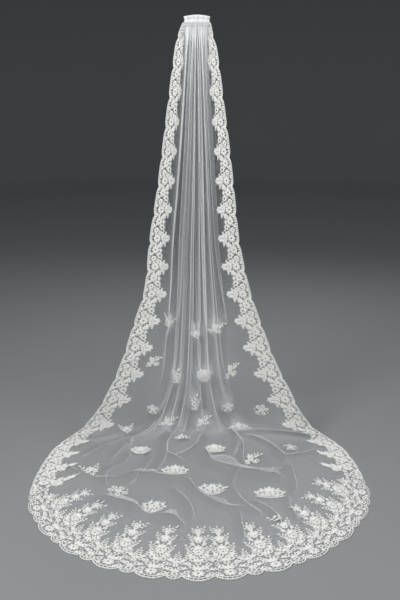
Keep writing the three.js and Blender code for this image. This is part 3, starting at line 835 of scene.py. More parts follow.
# %% Fronds, curls and hands
STEM_RADIUS = 0.7
CURL_RADIUS = 1.4
TIP_LEAF = 1.3


def bowed(p0, q0, p1, q1, bow, stations):
    """A line from end to end, bowed sideways by a half sine."""
    w = np.linspace(0, 1, stations)
    side = bow * np.sin(np.pi * w)
    length = np.hypot(p1 - p0, q1 - q0)
    along_p, along_q = (p1 - p0) / length, (q1 - q0) / length
    path_p = p0 + along_p * length * w - along_q * side
    path_q = q0 + along_q * length * w + along_p * side
    return np.stack([path_p, path_q], axis=1)


def frond(p0, q0, p1, q1, pairs, leaf_length, bow=0.0, spread_angle=52, taper=0.35, fat=0.55):
    """A bowed stem with leaves in pairs and one at its tip, smaller towards the tip by the taper."""
    path = bowed(p0, q0, p1, q1, bow, 4 * (CORD_STATIONS - 1) + 1)
    slope = np.gradient(path, axis=0)
    w = (np.arange(pairs) + 0.6) / (pairs + 0.4)
    at, stations = w * (len(path) - 1), np.arange(len(path))
    p, q = np.interp(at, stations, path[:, 0]), np.interp(at, stations, path[:, 1])
    heading = np.interp(at, stations, np.unwrap(np.arctan2(slope[:, 1], slope[:, 0])))
    size = leaf_length * (1 - taper * w)
    rows = [leaf_rows(p, q, heading + side * np.radians(spread_angle), size, size * fat) for side in (1, -1)]
    last = leaf_length * (1 - taper) * TIP_LEAF
    end = np.arctan2(slope[-1, 1], slope[-1, 0])
    rows.append(leaf_rows(path[-1, 0], path[-1, 1], end, last, last * fat * 1.1))
    return np.concatenate(rows), path[::4][None], np.array([STEM_RADIUS])


def curl(p, q, radius, start, turns=1.1, hand=1):
    """A spiral cord that closes in on its middle, from its radius to a quarter of it."""
    w = np.linspace(0, 1, CORD_STATIONS)
    angle = np.radians(start) + hand * 2 * np.pi * turns * w
    reach = radius * (1 - 0.75 * w)
    path = np.stack([p + reach * np.cos(angle), q + reach * np.sin(angle)], axis=1)
    return NO_LEAVES, path[None], np.array([CURL_RADIUS])


def hand(p, q, degrees, count, sweep, length, fat=0.5):
    """Leaves that open like a hand from one point, the outermost a quarter shorter."""
    part = np.linspace(-1, 1, count)
    size = length * (1 - 0.25 * np.abs(part))
    return leaf_rows(p, q, np.radians(degrees + part * sweep / 2), size, size * fat), NO_CORDS, NO_RADII


print("a frond of three pairs has", len(frond(0, 0, 0, 9, 3, 3)[0]), "leaves")

# %% [markdown]
# ## The scalloped edge
# The border ends in arches: two cords, satin bars between them, and outside them picots, the tiny
# loops that finish lace. One function draws an arch of any size, so both patterns share it.

# %% Scalloped edge
SCALLOP_DEPTH = 18.0
INNER_CORD = 0.75
PICOT_LENGTH = 1.8
PICOT_WIDTH = 1.6
PICOT_HEIGHT = 1.2


def scallop_line(w, depth, cusp, power=2.2):
    """Outline of a scallop against its length w from 0 to 1: an arch that springs from its two cusps."""
    return cusp - (depth + cusp) * (1 - np.abs(2 * w - 1) ** power)


def scallop(p0, p1, depth, cusp, inset, bars, outer, inner, runs=4, power=2.2, bar_reach=2, bar_share=0.3):
    """The outer cord on the outline, the inner one inset from it, satin bars across and picots outside."""
    def on_rim(w):
        """Points of the outline at shares w of the way from p0 to p1."""
        return p0 + (p1 - p0) * w, scallop_line(w, depth, cusp, power) + outer

    p, rim = on_rim((np.arange(runs)[:, None] + np.linspace(0, 1, CORD_STATIONS)) / runs)
    paths = np.concatenate([np.stack([p, rim], -1), np.stack([p, INNER_CORD * rim + inset], -1)])
    p, rim = on_rim((np.arange(bars) + 0.5) / bars)
    reach = inset - (1 - INNER_CORD) * rim + bar_reach
    bar = leaf_rows(p, rim, np.pi / 2, reach, bar_share * (p1 - p0) / bars)
    p, rim = on_rim(np.arange(2 * bars + 1) / (2 * bars))
    picot = leaf_rows(p, rim, -np.pi / 2, PICOT_LENGTH * outer, PICOT_WIDTH * outer, PICOT_HEIGHT)
    return np.concatenate([bar, picot]), paths, np.repeat([outer, inner], runs)


print("leaves of a scallop:", len(scallop(0, 58, 18, 5, 8, 7, 2, 1.4)[0]))

# %% [markdown]
# ## The border's two patterns
# Down the sides the lace repeats every 116 millimetres: a long scallop filled with small flowers, and
# near its end a forked sprig that points inwards over bare net. Round the hem the repeat is a large
# scallop beside a small one, with a tall tiered sprig above. The tables of calls below are the
# pattern draft, as a lace maker would prick it: all flowers are open, with net showing between the
# petals, because that is what makes lace look like lace.

# %% Pattern of the side border
SIDE_PITCH = 116.0
SIDE_BAND = 60.0
SIDE_SPRIG = 60.0

SIDE_MOTIF = joined(
    scallop(0, 116, SCALLOP_DEPTH, 0, 5, 12, 3.0, 2.8, power=5, bar_reach=12, bar_share=0.85),
    flower(24, 25, 18, 8, 2),
    flower(60, 18, 13, 6, 2, 0.3),
    flower(93, 27, 19, 9, 2, 0.5),
    flower(47, 46, 13, 6, 1, 0.4),
    flower(73, 46, 11, 6, 2, 0.2),
    flower(4, 46, 12, 6, 2, 0.1),
    flower(114, 8, 9, 5),
    hand(42, 2, 90, 4, 150, 14),
    hand(76, 0, 90, 4, 150, 13),
    hand(3, 18, 100, 4, 170, 15),
    frond(30, 44, 52, 30, 2, 11, bow=3),
    hand(64, 32, 80, 4, 170, 12),
    hand(26, 44, 95, 5, 170, 14),
    hand(60, 52, 90, 3, 120, 10),
    hand(90, 47, 100, 5, 170, 14),
    hand(112, 40, 60, 4, 150, 15),
    hand(40, 34, 30, 3, 150, 13),
    hand(76, 32, 170, 3, 120, 11),
    hand(9, 32, 90, 4, 170, 12),
    hand(36, 10, 60, 3, 130, 12),
    hand(76, 14, 100, 3, 140, 12),
    curl(11, 6, 4, 180),
    # forked sprig
    flower(82, 62, 12, 6, 2, 0.3),
    flower(104, 62, 13, 6, 2),
    frond(94, 62, 92, 98, 3, 21, fat=0.65),
    hand(76, 68, 140, 3, 90, 17),
    hand(112, 68, 40, 3, 90, 19),
    flower(93, 90, 11, 6),
    hand(92, 96, 90, 5, 210, 22),
)
SIDE_END_MOTIF = joined(
    scallop(0, 58, 0.8 * SCALLOP_DEPTH, 0, 5, 6, 3.0, 2.8, runs=2, power=5, bar_reach=12, bar_share=0.85),
    flower(15, 17, 13, 6),
    flower(42, 17, 13, 6, 1, 0.4),
    flower(28, 38, 13, 6, 1, 0.2),
    hand(28, 6, 90, 3, 120, 12),
    hand(9, 38, 110, 3, 100, 12),
    hand(47, 38, 70, 3, 100, 12),
)
print("side repeat:", len(SIDE_MOTIF[0]), "leaves,", len(SIDE_MOTIF[1]), "cords")

# %% Pattern of the hem border
HEM_PITCH = 157.0
HEM_BAND = 122.0
HEM_SPRIG = 243.0

HEM_MOTIF = joined(
    # large scallop
    scallop(53, 157, SCALLOP_DEPTH, 11, 13, 7, 3.4, 2.6),
    flower(105, 34, 24, 9, 2),
    hand(105, 56, 90, 5, 150, 32),
    hand(82, 20, 200, 3, 90, 20),
    hand(128, 20, -20, 3, 90, 20),
    flower(67, 38, 13, 6, 1, 0.3),
    flower(148, 30, 11, 6),
    curl(138, 48, 8, 180),
    curl(76, 50, 7, 0, hand=-1),
    flower(84, 78, 15, 6),
    flower(129, 72, 16, 7, 2, 0.4),
    hand(60, 58, 110, 4, 140, 22),
    hand(152, 52, 70, 4, 140, 24),
    flower(106, 100, 15, 6, 1, 0.2),
    flower(68, 96, 14, 7, 2),
    flower(144, 92, 13, 6, 1, 0.5),
    hand(105, 112, 90, 5, 170, 28),
    hand(56, 112, 130, 4, 130, 26),
    hand(152, 112, 50, 4, 130, 26),
    flower(84, 124, 15, 6, 1, 0.5),
    flower(130, 118, 15, 6, 1, 0.2),
    frond(74, 122, 66, 158, 2, 24),
    frond(138, 122, 144, 156, 2, 24),
    hand(94, 132, 105, 3, 100, 26),
    hand(121, 132, 75, 3, 100, 26),
    # small scallop
    scallop(0, 53, 0.5 * SCALLOP_DEPTH, 11, 13, 4, 3.2, 2.4, runs=2),
    flower(27, 28, 15, 7, 1, 0.3),
    hand(27, 42, 90, 5, 175, 24),
    hand(8, 26, 150, 3, 120, 18),
    hand(46, 28, 30, 3, 120, 17),
    flower(8, 58, 13, 6),
    flower(44, 66, 13, 6, 1, 0.5),
    flower(24, 84, 14, 6, 2, 0.2),
    flower(1, 88, 11, 5),
    flower(48, 98, 11, 5, 1, 0.6),
    hand(26, 98, 90, 5, 160, 26),
    frond(26, 112, 28, 160, 3, 24),
    hand(8, 110, 110, 3, 120, 24),
    # tall sprig: a rosette with two side twigs
    flower(108, 172, 25, 9, 2),
    hand(108, 194, 90, 5, 130, 38),
    hand(84, 152, 160, 4, 120, 26),
    hand(132, 152, 20, 4, 120, 26),
    frond(90, 168, 60, 214, 3, 27),
    frond(126, 168, 156, 208, 3, 27),
    # its second tier
    flower(108, 254, 17, 7, 2),
    frond(100, 248, 68, 292, 3, 26),
    frond(116, 248, 150, 284, 3, 26),
    hand(108, 266, 90, 5, 140, 36),
    hand(90, 236, 200, 4, 120, 26),
    hand(126, 236, -20, 4, 120, 26),
    # its crown
    flower(108, 310, 15, 6, 2),
    frond(108, 312, 106, 350, 2, 26),
    frond(112, 310, 140, 350, 2, 28),
    frond(104, 310, 82, 342, 2, 24),
    hand(108, 300, -90, 2, 60, 16),
)
print("hem repeat:", len(HEM_MOTIF[0]), "leaves,", len(HEM_MOTIF[1]), "cords")

# %% [markdown]
# ## Laying the pattern along the edge
# The border keeps to the edge of the cut: down the straight side, then round the half-ellipse of
# the hem. A table gives the band's width and the sprigs' reach along the way; the pattern is
# squeezed or stretched to it. On the train the sprigs lean back up along the edge, most of all where
# the straight side turns into the hem, so that from the front they open like the sticks of a fan.

# %% The edge of the cut and the widths along it
BORDER_START = 0.0135
SIDE_REPEATS = {-1: 19, 1: 18}
HEM_REPEATS = 6
BORDER_GAP = 0.0004
SEAM_ASIDE = 0.074
SPRIG_OVER_SEAM = 0.02
LACE_OVER = 0.0004

BULGE, BAND, REACH, LEAN = range(1, 5)
BORDER = np.array([
    # length along the edge, bulge of the scallops, band, reach of the sprigs, their lean
    [0.000, 0.006, 0.022, 0.012, 0.00],
    [0.060, 0.009, 0.034, 0.014, 0.00],
    [0.120, 0.009, 0.040, 0.016, 0.00],
    [0.400, 0.008, 0.044, 0.020, 0.00],
    [0.800, 0.009, 0.056, 0.030, 0.00],
    [1.240, 0.009, 0.070, 0.042, 0.00],
    [1.600, 0.008, 0.074, 0.044, -0.10],
    [1.800, 0.008, 0.076, 0.048, -0.30],
    [2.000, 0.008, 0.085, 0.066, -0.60],
    [2.350, 0.007, 0.100, 0.125, -0.95],
    [2.500, 0.009, 0.108, 0.165, -1.00],
    [2.700, 0.011, 0.118, 0.200, -0.65],
    [2.950, 0.013, 0.120, 0.220, -0.40],
    [3.200, 0.016, 0.123, 0.235, -0.10],
    [3.460, 0.018, 0.125, 0.245, 0.00],
])

REPEATS_ALONG = np.array([
    # repeats from the comb, length along the edge
    [0.0, BORDER_START],
    [7.0, 0.832],
    [14.0, 1.650],
    [16.0, 1.905],
    [19.0, 2.350],
])
print("border in metres at its widest:", BORDER[-1, BAND] + BORDER[-1, REACH])

# %% Places along the edge
HEM_STEPS = 450
HEM_OVERRUN = 0.2

hem_angle = np.linspace(np.pi / 2, -HEM_OVERRUN, HEM_STEPS)
hem_s = CUT_HALF_WIDTH * np.sin(hem_angle)
hem_t = CUT_ROUND * np.cos(hem_angle)
hem_length = np.concatenate([[0], np.cumsum(np.hypot(np.diff(hem_s), np.diff(hem_t)))])
EDGE_LENGTH = CUT_STRAIGHT + np.interp(0, hem_angle[::-1], hem_length[::-1])


def cut_place(a, inwards):
    """The point of the flat cut at length a along its edge and a distance inwards: on the half-ellipse
    the way in is square to it."""
    angle = np.interp(a - CUT_STRAIGHT, hem_length, hem_angle)
    out_s, out_t = np.sin(angle) / CUT_HALF_WIDTH, np.cos(angle) / CUT_ROUND
    size = np.hypot(out_s, out_t)
    s = CUT_HALF_WIDTH * np.sin(angle) - inwards * out_s / size
    t = np.minimum(a, CUT_STRAIGHT) + CUT_ROUND * np.cos(angle) - inwards * out_t / size
    return s, t


def border_place(a, q, band, sprig):
    """Cut point of a pattern point at length a along the edge: q is stretched to the band's width there
    and beyond the band to the sprigs' reach, and the sprigs shift along the edge by their lean."""
    reach = np.maximum(q - band, 0) / sprig * follow(BORDER, REACH, a)
    inwards = np.minimum(q, band) / band * follow(BORDER, BAND, a) + reach
    outside = np.minimum(q, 0) / SCALLOP_DEPTH * follow(BORDER, BULGE, a)
    return cut_place(a + follow(BORDER, LEAN, a) * reach, np.where(q < 0, outside, inwards))


print("edge of the cut in metres:", round(2 * EDGE_LENGTH, 2))

# %% Repeats, carried onto the cloth


def repeated(motif, pitch, repeats, first=0.0):
    """The motif once for each repeat, moved on by the pitch."""
    leaves, paths, radii = motif
    shift = first + np.repeat(np.arange(repeats) * pitch, len(leaves))
    leaves = np.tile(leaves, (repeats, 1))
    leaves[:, 0] += shift
    shift = first + np.repeat(np.arange(repeats) * pitch, len(paths))
    paths = np.tile(paths, (repeats, 1, 1))
    paths[:, :, 0] += shift[:, None]
    return leaves, paths, np.tile(radii, repeats)


def laid(motif, to_cut, flip):
    """Points, faces and UV of a motif on the cloth. The function to_cut takes pattern points to the flat
    cut, and flip turns the faces of a motif that it mirrors."""
    leaves, paths, radii = motif
    dome, dome_uv = leaf_points(leaves)
    tube, tube_uv = cord_points(paths, radii)
    flat = np.concatenate([dome.reshape(-1, 3), tube.reshape(-1, 3)])
    s, t = to_cut(flat[:, 0], flat[:, 1])
    points = cloth(s, t, LACE_OVER + flat[:, 2] * MM)
    quads, triangles = leaf_faces(len(leaves))
    tubes = np.concatenate(tube_faces(len(paths), CORD_STATIONS, CORD_SIDES)) + len(leaves) * LEAF_POINTS
    quads = np.concatenate([quads, tubes])
    if flip:
        quads, triangles = quads[:, ::-1], triangles[:, ::-1]
    uv = np.concatenate([dome_uv.reshape(-1, 2), tube_uv.reshape(-1, 2)])
    return points, (quads, triangles), uv


print("leaves of two side repeats:", len(repeated(SIDE_MOTIF, SIDE_PITCH, 2)[0]))

# %% [markdown]
# ## The two borders
# Each border is one piece that starts below the heading and ends at the middle of the hem. Half a
# repeat begins and closes the side, and the hem's repeats are stretched a little to come out even.


# %% Make the borders
def side_cut(side):
    """The side's pattern follows its own table of repeats, and starts below the heading."""
    def to_cut(p, q):
        s, t = border_place(follow(REPEATS_ALONG, 1, p / SIDE_PITCH), q, SIDE_BAND, SIDE_SPRIG)
        return side * s, np.maximum(t, BORDER_START)
    return to_cut


def hem_cut(side):
    """The hem's pattern starts where the side's ends, and the two borders meet a little to the right of
    the hem's middle."""
    start = follow(REPEATS_ALONG, 1, SIDE_REPEATS[side])
    seam = side * SEAM_ASIDE + BORDER_GAP

    def to_cut(p, q):
        a = start + p / (HEM_PITCH * HEM_REPEATS) * (EDGE_LENGTH - seam - start)
        s, t = border_place(a, q, HEM_BAND, HEM_SPRIG)
        return side * np.maximum(s, seam - SPRIG_OVER_SEAM * (q > HEM_BAND)), t
    return to_cut


for side, word in ((-1, "left"), (1, "right")):
    count = SIDE_REPEATS[side]
    whole_repeats = repeated(SIDE_MOTIF, SIDE_PITCH, count - 1, SIDE_PITCH / 2)
    half_repeats = repeated(SIDE_END_MOTIF, SIDE_PITCH * (count - 0.5), 2)
    hem_repeats = repeated(HEM_MOTIF, HEM_PITCH, HEM_REPEATS)
    points, faces, uv = joined_meshes([
        laid(whole_repeats, side_cut(side), side > 0),
        laid(half_repeats, side_cut(side), side > 0),
        laid(hem_repeats, hem_cut(side), side > 0),
    ])
    border = new_piece(f"corded_border_{word}", points, faces, uv, LACE)
    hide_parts(f"lace_border_{word}")
    border.data.calc_loop_triangles()
    print(border.name, "triangles:", len(border.data.loop_triangles))

# %% [markdown]
# ## The sewn-on sprays
# Small patterns cut from the same lace are sewn over the lower half of the veil: fans and crests
# with a corded rim, forked sprigs, round posies, butterflies and narrow wisps. They could all be one
# shape, but the eye soon finds copies, so there are six drafts, each laid at its own size and turn.

# %% Patterns of the sprays, in a square of sixty millimetres
SPRAY_SQUARE = 60.0
BAR_FANNING = 0.9
BAR_WIDTH = 2.6


def rim_arc(half_width, q, sag, radius):
    """A cord bowed downwards, the rim of a fan."""
    path = bowed(-half_width, q, half_width, q, -sag, CORD_STATIONS)
    return NO_LEAVES, path[None], np.array([radius])


def rim_bars(count, half_width, q, sag, length):
    """Satin bars that stand inwards from a rim arc."""
    w = (np.arange(count) + 0.5) / count
    aim = np.pi / 2 + BAR_FANNING * (w - 0.5)
    bars = leaf_rows(half_width * (2 * w - 1), q - sag * np.sin(np.pi * w), aim, length, BAR_WIDTH)
    return bars, NO_CORDS, NO_RADII


SPRAY_MOTIFS = {
    "fan": joined(
        rim_arc(29, 0, 22, 1.9),
        rim_arc(24, 2, 15, 1.4),
        rim_bars(11, 27, 0, 21, 9),
        flower(0, 8, 13, 7, 2),
        flower(-18, 8, 10, 5),
        flower(18, 8, 10, 5, 1, 0.4),
        flower(-9, -7, 8, 5),
        flower(9, -7, 8, 5, 1, 0.5),
        hand(0, 16, 90, 4, 130, 14),
        hand(-14, 16, 110, 3, 100, 13),
        hand(14, 16, 70, 3, 100, 13),
        hand(-25, 8, 140, 3, 90, 9),
        hand(25, 8, 40, 3, 90, 9),
    ),
    "crest": joined(
        rim_arc(29, -13, 7, 1.9),
        rim_arc(25, -8, 4, 1.4),
        rim_bars(11, 27, -13, 6, 8),
        flower(0, 2, 12, 7, 2),
        flower(-19, 0, 9, 5),
        flower(19, 0, 9, 5, 1, 0.4),
        hand(0, 10, 90, 5, 150, 20),
        hand(-13, 6, 110, 3, 100, 17),
        hand(13, 6, 70, 3, 100, 17),
        hand(-24, 0, 130, 3, 90, 11),
        hand(24, 0, 50, 3, 90, 11),
        flower(-10, -9, 6, 5),
        flower(10, -9, 6, 5),
    ),
    "sprig": joined(
        flower(-7, -5, 12, 7, 2),
        frond(0, -2, 26, 17, 3, 16, bow=5),
        hand(-8, 2, 115, 3, 100, 20),
        frond(-12, -11, -25, -21, 2, 16),
        hand(2, -12, -50, 3, 100, 16),
        flower(15, -11, 9, 5),
    ),
    "posy": joined(
        flower(0, 0, 11, 6, 2),
        flower(16, 9, 9, 5),
        flower(-16, 10, 9, 6),
        flower(0, 19, 9, 5, 1, 0.3),
        flower(-10, -16, 9, 5, 1, 0.5),
        flower(12, -14, 9, 6, 1, 0.2),
        hand(23, -3, -20, 2, 80, 9),
        hand(-22, -4, 200, 2, 80, 9),
        hand(0, -21, -90, 2, 70, 9),
    ),
    "butterfly": joined(
        frond(-2, -14, -24, 16, 3, 16),
        frond(2, -14, 24, 18, 3, 16),
        hand(0, -12, -90, 3, 120, 16),
        flower(-8, -1, 9, 6),
        flower(9, -1, 9, 6),
        hand(0, 4, 90, 3, 70, 15),
    ),
    "wisp": joined(
        frond(-6, -28, 4, 24, 4, 17, bow=7),
        frond(2, -8, 22, 14, 2, 13),
        frond(-6, -2, -24, 20, 2, 13),
        flower(2, -14, 9, 5),
    ),
}
print({kind: len(motif[0]) for kind, motif in SPRAY_MOTIFS.items()})

# %% Sew the sprays on


def spray_cut(x0, t0, width, length, turn):
    """Pattern points of a spray to the flat cut: scaled, turned, set at its place across the veil and
    taken to the thread that runs there."""
    angle = np.radians(turn)

    def to_cut(p, q):
        across, up = p / SPRAY_SQUARE * width, q / SPRAY_SQUARE * length
        x = x0 + across * np.cos(angle) + up * np.sin(angle)
        t = t0 - (up * np.cos(angle) - across * np.sin(angle))
        return thread_at(x, t) * CUT_HALF_WIDTH, t
    return to_cut


for number, (kind, *place) in enumerate(SPRAYS, start=1):
    points, faces, uv = joined_meshes([laid(SPRAY_MOTIFS[kind], spray_cut(*place), False)])
    spray = new_piece(f"sewn_{kind}_{number:02d}", points, faces, uv, LACE)
    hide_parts(f"lace_spray_{number:02d}")

# %% [markdown]
# ## The gathered heading
# At the top a metre and a half of net is drawn up on two threads to the width of the comb, with a
# small frill left standing above them. So many layers lie together that the net looks like
# pleated white cloth. Nobody sees the inner layers, so they are left out: the surface is a closed
# band whose front and back are fluted.

# %% Fluted band
HEADING_HALF_WIDTH = 0.0515
HEADING_ARCH = 0.008
FLUTES = 34
FLUTE_DEPTH = 0.0012
BAND_COLUMNS = 640
BAND_ROWS = 40
SWAY = 0.0018
FRAY = 0.0007

HALF_DEPTH, FLARE, ARCH, RUFFLE = range(1, 5)
HEADING_ROWS = np.array([
    # height, half depth, how far the ends stand out, share of the arch, share of the ruffle
    [-0.0250, 0.0100, 0.0020, 0.0, 0.00],
    [-0.0120, 0.0062, -0.0010, 0.0, 0.00],
    [-0.0070, 0.0044, -0.0020, 0.0, 0.00],
    [0.0000, 0.0023, -0.0030, 0.0, 0.00],
    [0.0030, 0.0028, -0.0025, 0.1, 0.10],
    [0.0045, 0.0024, -0.0022, 0.2, 0.10],
    [0.0090, 0.0040, -0.0010, 0.5, 0.50],
    [0.0175, 0.0030, 0.0000, 0.8, 1.00],
])


def band_surface():
    """Front from left to right, then back: y swings out by the half depth and the flutes, and goes to
    the middle plane at both ends."""
    k = np.arange(BAND_COLUMNS)[:, None] / BAND_COLUMNS * 2
    across = np.where(k < 1, 2 * k - 1, 3 - 2 * k)
    face = np.where(k < 1, -1.0, 1.0)
    height = np.linspace(HEADING_ROWS[0, 0], HEADING_ROWS[-1, 0], BAND_ROWS)[None, :]
    columns = (HALF_DEPTH, FLARE, ARCH, RUFFLE)
    depth, flare, arch, ruffle = (follow(HEADING_ROWS, column, height) for column in columns)
    x = across * (HEADING_HALF_WIDTH + flare)
    wander = 1.3 * np.sin(9 * across) + 0.8 * np.sin(23 * across + 60 * height)
    flute = FLUTE_DEPTH * (0.7 + 0.3 * np.sin(17 * across)) * np.sin(np.pi * FLUTES * across + wander)
    closing = np.sqrt(np.maximum(1 - across**8, 0))
    sway = SWAY * ruffle * np.sin(np.pi * 9 * across + 2 * np.sin(4 * across)) * closing
    y = -CLOTH_PLANE + face * closing * (depth + flute) + sway
    fray = FRAY * ruffle * np.sin(np.pi * FLUTES * across + wander + 1)
    z = height + HEADING_ARCH * arch * (np.cos(np.pi * across / 2) - 1) + fray
    return np.stack([x, y, z], axis=-1), np.stack([across * CUT_HALF_WIDTH + 0 * height, height + 0 * k], -1)


print("flutes of the heading:", FLUTES)

# %% Close the band
def band_faces():
    """Quads all round the band, then a lid over its top and one under its foot, both from front to back."""
    i, j = np.meshgrid(np.arange(BAND_COLUMNS), np.arange(BAND_ROWS - 1), indexing="ij")
    here, beside = i * BAND_ROWS + j, (i + 1) % BAND_COLUMNS * BAND_ROWS + j
    quads = np.stack([here, beside, beside + 1, here + 1], axis=-1).reshape(-1, 4)
    half = BAND_COLUMNS // 2
    front = np.arange(1, half - 1)
    back = BAND_COLUMNS - front
    lid = np.stack([front, front + 1, back - 1, back], axis=1) * BAND_ROWS
    ends = np.array([[0, 1, BAND_COLUMNS - 1], [half - 1, half, half + 1]]) * BAND_ROWS
    top = BAND_ROWS - 1
    faces = quads.tolist() + (lid + top).tolist() + (ends + top).tolist()
    return faces + lid[:, ::-1].tolist() + ends[:, ::-1].tolist()


band, band_uv = band_surface()
heading = new_piece("pleated_heading", band, band_faces(), band_uv, HEADING)
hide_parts("gathered_heading")
print("heading faces:", len(heading.data.polygons))

# %% [markdown]
# ## Threads
# Gathering threads show in two rows on the front of the heading and in one on its back, and another
# thread is whipped round the comb's spine to hold the veil on it. A bevelled curve would do, but
# a tube made from arrays brings the UV that its twist needs.

# %% A thread round a path
THREAD_RADIUS = 0.00045
THREAD_SIDES = 6
SLANT = np.array([0.3, 1.0, 0.2])


def thread_tube(path, radius):
    """A closed-ended tube round a path in space. Its rings stand square to the path, and start on the
    side that is square to a slanted direction too, which no path here follows."""
    along = np.gradient(path, axis=0)
    along /= np.linalg.norm(along, axis=1, keepdims=True)
    side = np.cross(along, SLANT)
    side /= np.linalg.norm(side, axis=1, keepdims=True)
    up = np.cross(side, along)
    turn = np.linspace(0, 2 * np.pi, THREAD_SIDES, endpoint=False)[None, :, None]
    ring = path[:, None, :] + radius * (np.cos(turn) * side[:, None] + np.sin(turn) * up[:, None])
    length = np.concatenate([[0], np.cumsum(np.linalg.norm(np.diff(path, axis=0), axis=1))])
    uv = np.stack(np.broadcast_arrays(0 * length[:, None], length[:, None] + turn[..., 0] * radius), -1)
    return ring.reshape(-1, 3), tube_faces(1, len(path), THREAD_SIDES), uv.reshape(-1, 2)


print("sides of a thread:", THREAD_SIDES)

# %% Gathering threads and whipping
STITCH_PART = 0.97
STITCH_STEPS = 420
STITCH_OVER = 0.0004
STITCH_WAVE = 0.0006
WHIPPING_TURNS = 34
WHIPPING_STEPS = 900
WHIPPING_SIZE = (0.094, 0.0015, 0.0031)


def stitch_path(height, face):
    """Along the band's face at one height, over and under the flutes."""
    across = np.linspace(-STITCH_PART, STITCH_PART, STITCH_STEPS)
    depth = follow(HEADING_ROWS, HALF_DEPTH, height) + STITCH_OVER
    half = HEADING_HALF_WIDTH + follow(HEADING_ROWS, FLARE, height)
    y = -CLOTH_PLANE + face * (depth + STITCH_WAVE * np.sin(np.pi * FLUTES * across))
    arch = HEADING_ARCH * follow(HEADING_ROWS, ARCH, height) * (np.cos(np.pi * across / 2) - 1)
    return np.stack([across * half, y, height + arch], axis=1)


def whipping_path():
    """A helix round the comb's spine, flattened like its profile."""
    w = np.linspace(0, 1, WHIPPING_STEPS)
    angle = 2 * np.pi * WHIPPING_TURNS * w
    length, depth, height = WHIPPING_SIZE
    return np.stack([length * (w - 0.5), depth * np.cos(angle), height * np.sin(angle)], axis=1)


thread_paths = [stitch_path(0.0, -1.0), stitch_path(0.0045, -1.0), stitch_path(0.0, 1.0), whipping_path()]
points, faces, uv = joined_meshes([thread_tube(path, THREAD_RADIUS) for path in thread_paths])
threads = new_piece("gathering_threads", points, faces, uv, LACE)
print("thread faces:", len(faces))

# %% [markdown]
# ## The comb
# Behind the heading sits a plain moulded comb: a rounded spine and eighteen teeth that taper to
# blunt tips. Boxes with bevels could stand for them. A profile carried along a line and rounded
# off at its ends gives the soft edges of a moulding in one function for both.

# %% A rounded bar
PROFILE_SIDES = 16
PROFILE_POWER = 0.6
ROUNDED_SHARE = 0.03
SMALLEST_END = 0.01
X_WAY, Y_WAY, Z_WAY = np.eye(3)


def rounded_bar(axis_points, half_a, half_b, way_a, way_b):
    """A profile between an ellipse and a rectangle, carried along axis points with its own half sizes."""
    turn = np.linspace(0, 2 * np.pi, PROFILE_SIDES, endpoint=False)
    c = np.sign(np.cos(turn)) * np.abs(np.cos(turn)) ** PROFILE_POWER
    d = np.sign(np.sin(turn)) * np.abs(np.sin(turn)) ** PROFILE_POWER
    ring = half_a[:, None, None] * c[None, :, None] * way_a + half_b[:, None, None] * d[None, :, None] * way_b
    points = (axis_points[:, None, :] + ring).reshape(-1, 3)
    return points, tube_faces(1, len(axis_points), PROFILE_SIDES), points[:, [0, 2]]


def end_rounding(part):
    """One along the bar and a quarter circle down towards each end."""
    into = np.clip(np.minimum(part, 1 - part) / ROUNDED_SHARE, 0, 1)
    return np.sqrt(np.maximum(1 - (1 - into) ** 2, SMALLEST_END))


print("size of a bar at its tip and beyond its rounded end:", end_rounding(np.array([0.0, ROUNDED_SHARE])))

# %% Spine and teeth
COMB_WIDTH = 0.096
SPINE_HALF_HEIGHT = 0.0025
COMB_HALF_THICKNESS = 0.0009
TOOTH_COUNT = 18
TOOTH_LENGTH = 0.033
TOOTH_HALF_WIDTH = 0.0011
TOOTH_TIP_HALF_WIDTH = 0.0005
TOOTH_THICKNESS = 0.95
TOOTH_THINNING = 0.3

w = np.concatenate([np.linspace(0, 0.04, 8), np.linspace(0.05, 0.95, 40), np.linspace(0.96, 1, 8)])
spine_axis = np.stack([(w - 0.5) * COMB_WIDTH, 0 * w, 0 * w], axis=1)
size = end_rounding(w)
bars = [rounded_bar(spine_axis, COMB_HALF_THICKNESS * size, SPINE_HALF_HEIGHT * size, Y_WAY, Z_WAY)]
w = np.concatenate([np.linspace(0, 0.9, 12), np.linspace(0.92, 1, 7)])
drop = -0.5 * SPINE_HALF_HEIGHT - w * (TOOTH_LENGTH + 0.5 * SPINE_HALF_HEIGHT)
width = (TOOTH_HALF_WIDTH + (TOOTH_TIP_HALF_WIDTH - TOOTH_HALF_WIDTH) * w) * end_rounding(w / 2 + 0.5)
thick = COMB_HALF_THICKNESS * (TOOTH_THICKNESS - TOOTH_THINNING * w) * end_rounding(w / 2 + 0.5)
for x in np.linspace(-0.5, 0.5, TOOTH_COUNT) * (COMB_WIDTH - 2 * TOOTH_HALF_WIDTH):
    bars.append(rounded_bar(np.stack([x + 0 * w, 0 * w, drop], axis=1), thick, width, Y_WAY, -X_WAY))
points, faces, uv = joined_meshes(bars)
comb = new_piece("moulded_comb", points, faces, uv, COMB)
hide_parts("comb")
print("comb faces:", len(faces))

# %% [markdown]
# ## Floor, backdrop and light
# The veil stands in a round studio cove: a plain pale floor that curves up into a wall far away on
# every side, so it can be looked at from all round. The lamps light the floor near the veil, and the
# wall, out of their reach, falls back to the dark grey that white lace needs behind it.

# %% Stage
FLOOR_HEIGHT = -COMB_HEIGHT
FLOOR_COLOUR = (0.235, 0.24, 0.245, 1)
FLOOR_SHADE = (0.2256, 0.2304, 0.2352, 1)
COVE = np.array([
    # distance from the middle, height above the floor
    [0.0, 0.0],
    [3.0, 0.0],
    [9.0, 0.0],
    [10.5, 0.2],
    [11.6, 0.9],
    [12.3, 2.0],
    [12.5, 3.4],
    [12.5, 6.0],
])
COVE_COLUMNS = 96
COVE_ROWS = 60


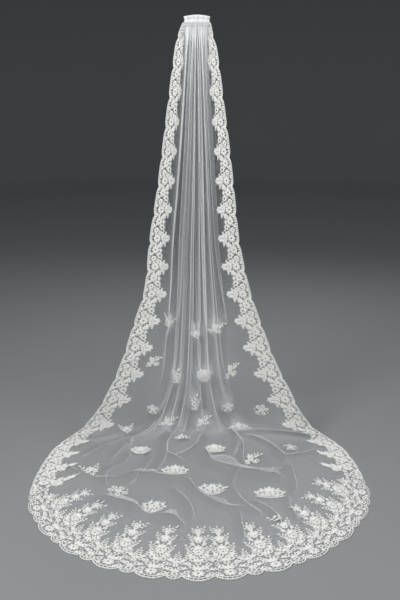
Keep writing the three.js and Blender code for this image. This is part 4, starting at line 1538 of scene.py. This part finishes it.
def cove_surface():
    """The cove's outline turned round the vertical: distance and height follow its table, row by row."""
    w = np.linspace(0, len(COVE) - 1, COVE_ROWS)[None, :]
    table = np.column_stack([np.arange(len(COVE)), COVE])
    angle = np.linspace(0, 2 * np.pi, COVE_COLUMNS)[:, None]
    reach, height = follow(table, 1, w), follow(table, 2, w)
    x, y = reach * np.cos(angle), reach * np.sin(angle)
    return np.stack(np.broadcast_arrays(x, y, FLOOR_HEIGHT + height), -1)


def floor_material():
    """Matt pale grey with a barely seen cloud in it."""
    material, tree, shader = material_nodes("studio_floor")
    tint(tree, shader, noise_value(tree, 1.5), FLOOR_SHADE, FLOOR_COLOUR)
    shader.inputs["Roughness"].default_value = 0.85
    return material


floor = mesh_object("floor", cove_surface(), grid_faces(COVE_COLUMNS, COVE_ROWS), floor_material())
print("cove faces:", len(floor.data.polygons))

# %% Lamps
LAMPS = [
    # name, place, aim, size, power
    ("key", (-1.9, -2.6, 0.9), (0, -0.3, -0.8), 1.4, 84),
    ("fill", (2.3, -2.2, 0.3), (0, -0.3, -0.9), 1.8, 30),
    ("top", (0.2, -1.2, 1.6), (0, -0.5, -1.2), 1.2, 28),
    ("back", (0.6, 2.6, 1.3), (0, 0, -0.7), 1.2, 32),
]
ROOM_COLOUR = (0.8, 0.85, 0.9, 1)
ROOM_STRENGTH = 0.26

for name, place, aim, size, power in LAMPS:
    data = bpy.data.lights.new(name, "AREA")
    data.size = size
    data.energy = power
    lamp = bpy.data.objects.new(name, data)
    lamp.location = place
    way = np.array(aim, float) - np.array(place, float)
    flat = np.hypot(way[0], way[1])
    lamp.rotation_euler = (np.arctan2(flat, -way[2]), 0, np.arctan2(-way[0], way[1]))
    bpy.context.scene.collection.objects.link(lamp)

world = bpy.data.worlds.new("soft_room")
world.use_nodes = True
background = world.node_tree.nodes["Background"]
background.inputs["Color"].default_value = ROOM_COLOUR
background.inputs["Strength"].default_value = ROOM_STRENGTH
bpy.context.scene.world = world
bpy.context.scene.view_settings.view_transform = "Standard"
print("lamps:", [row[0] for row in LAMPS])
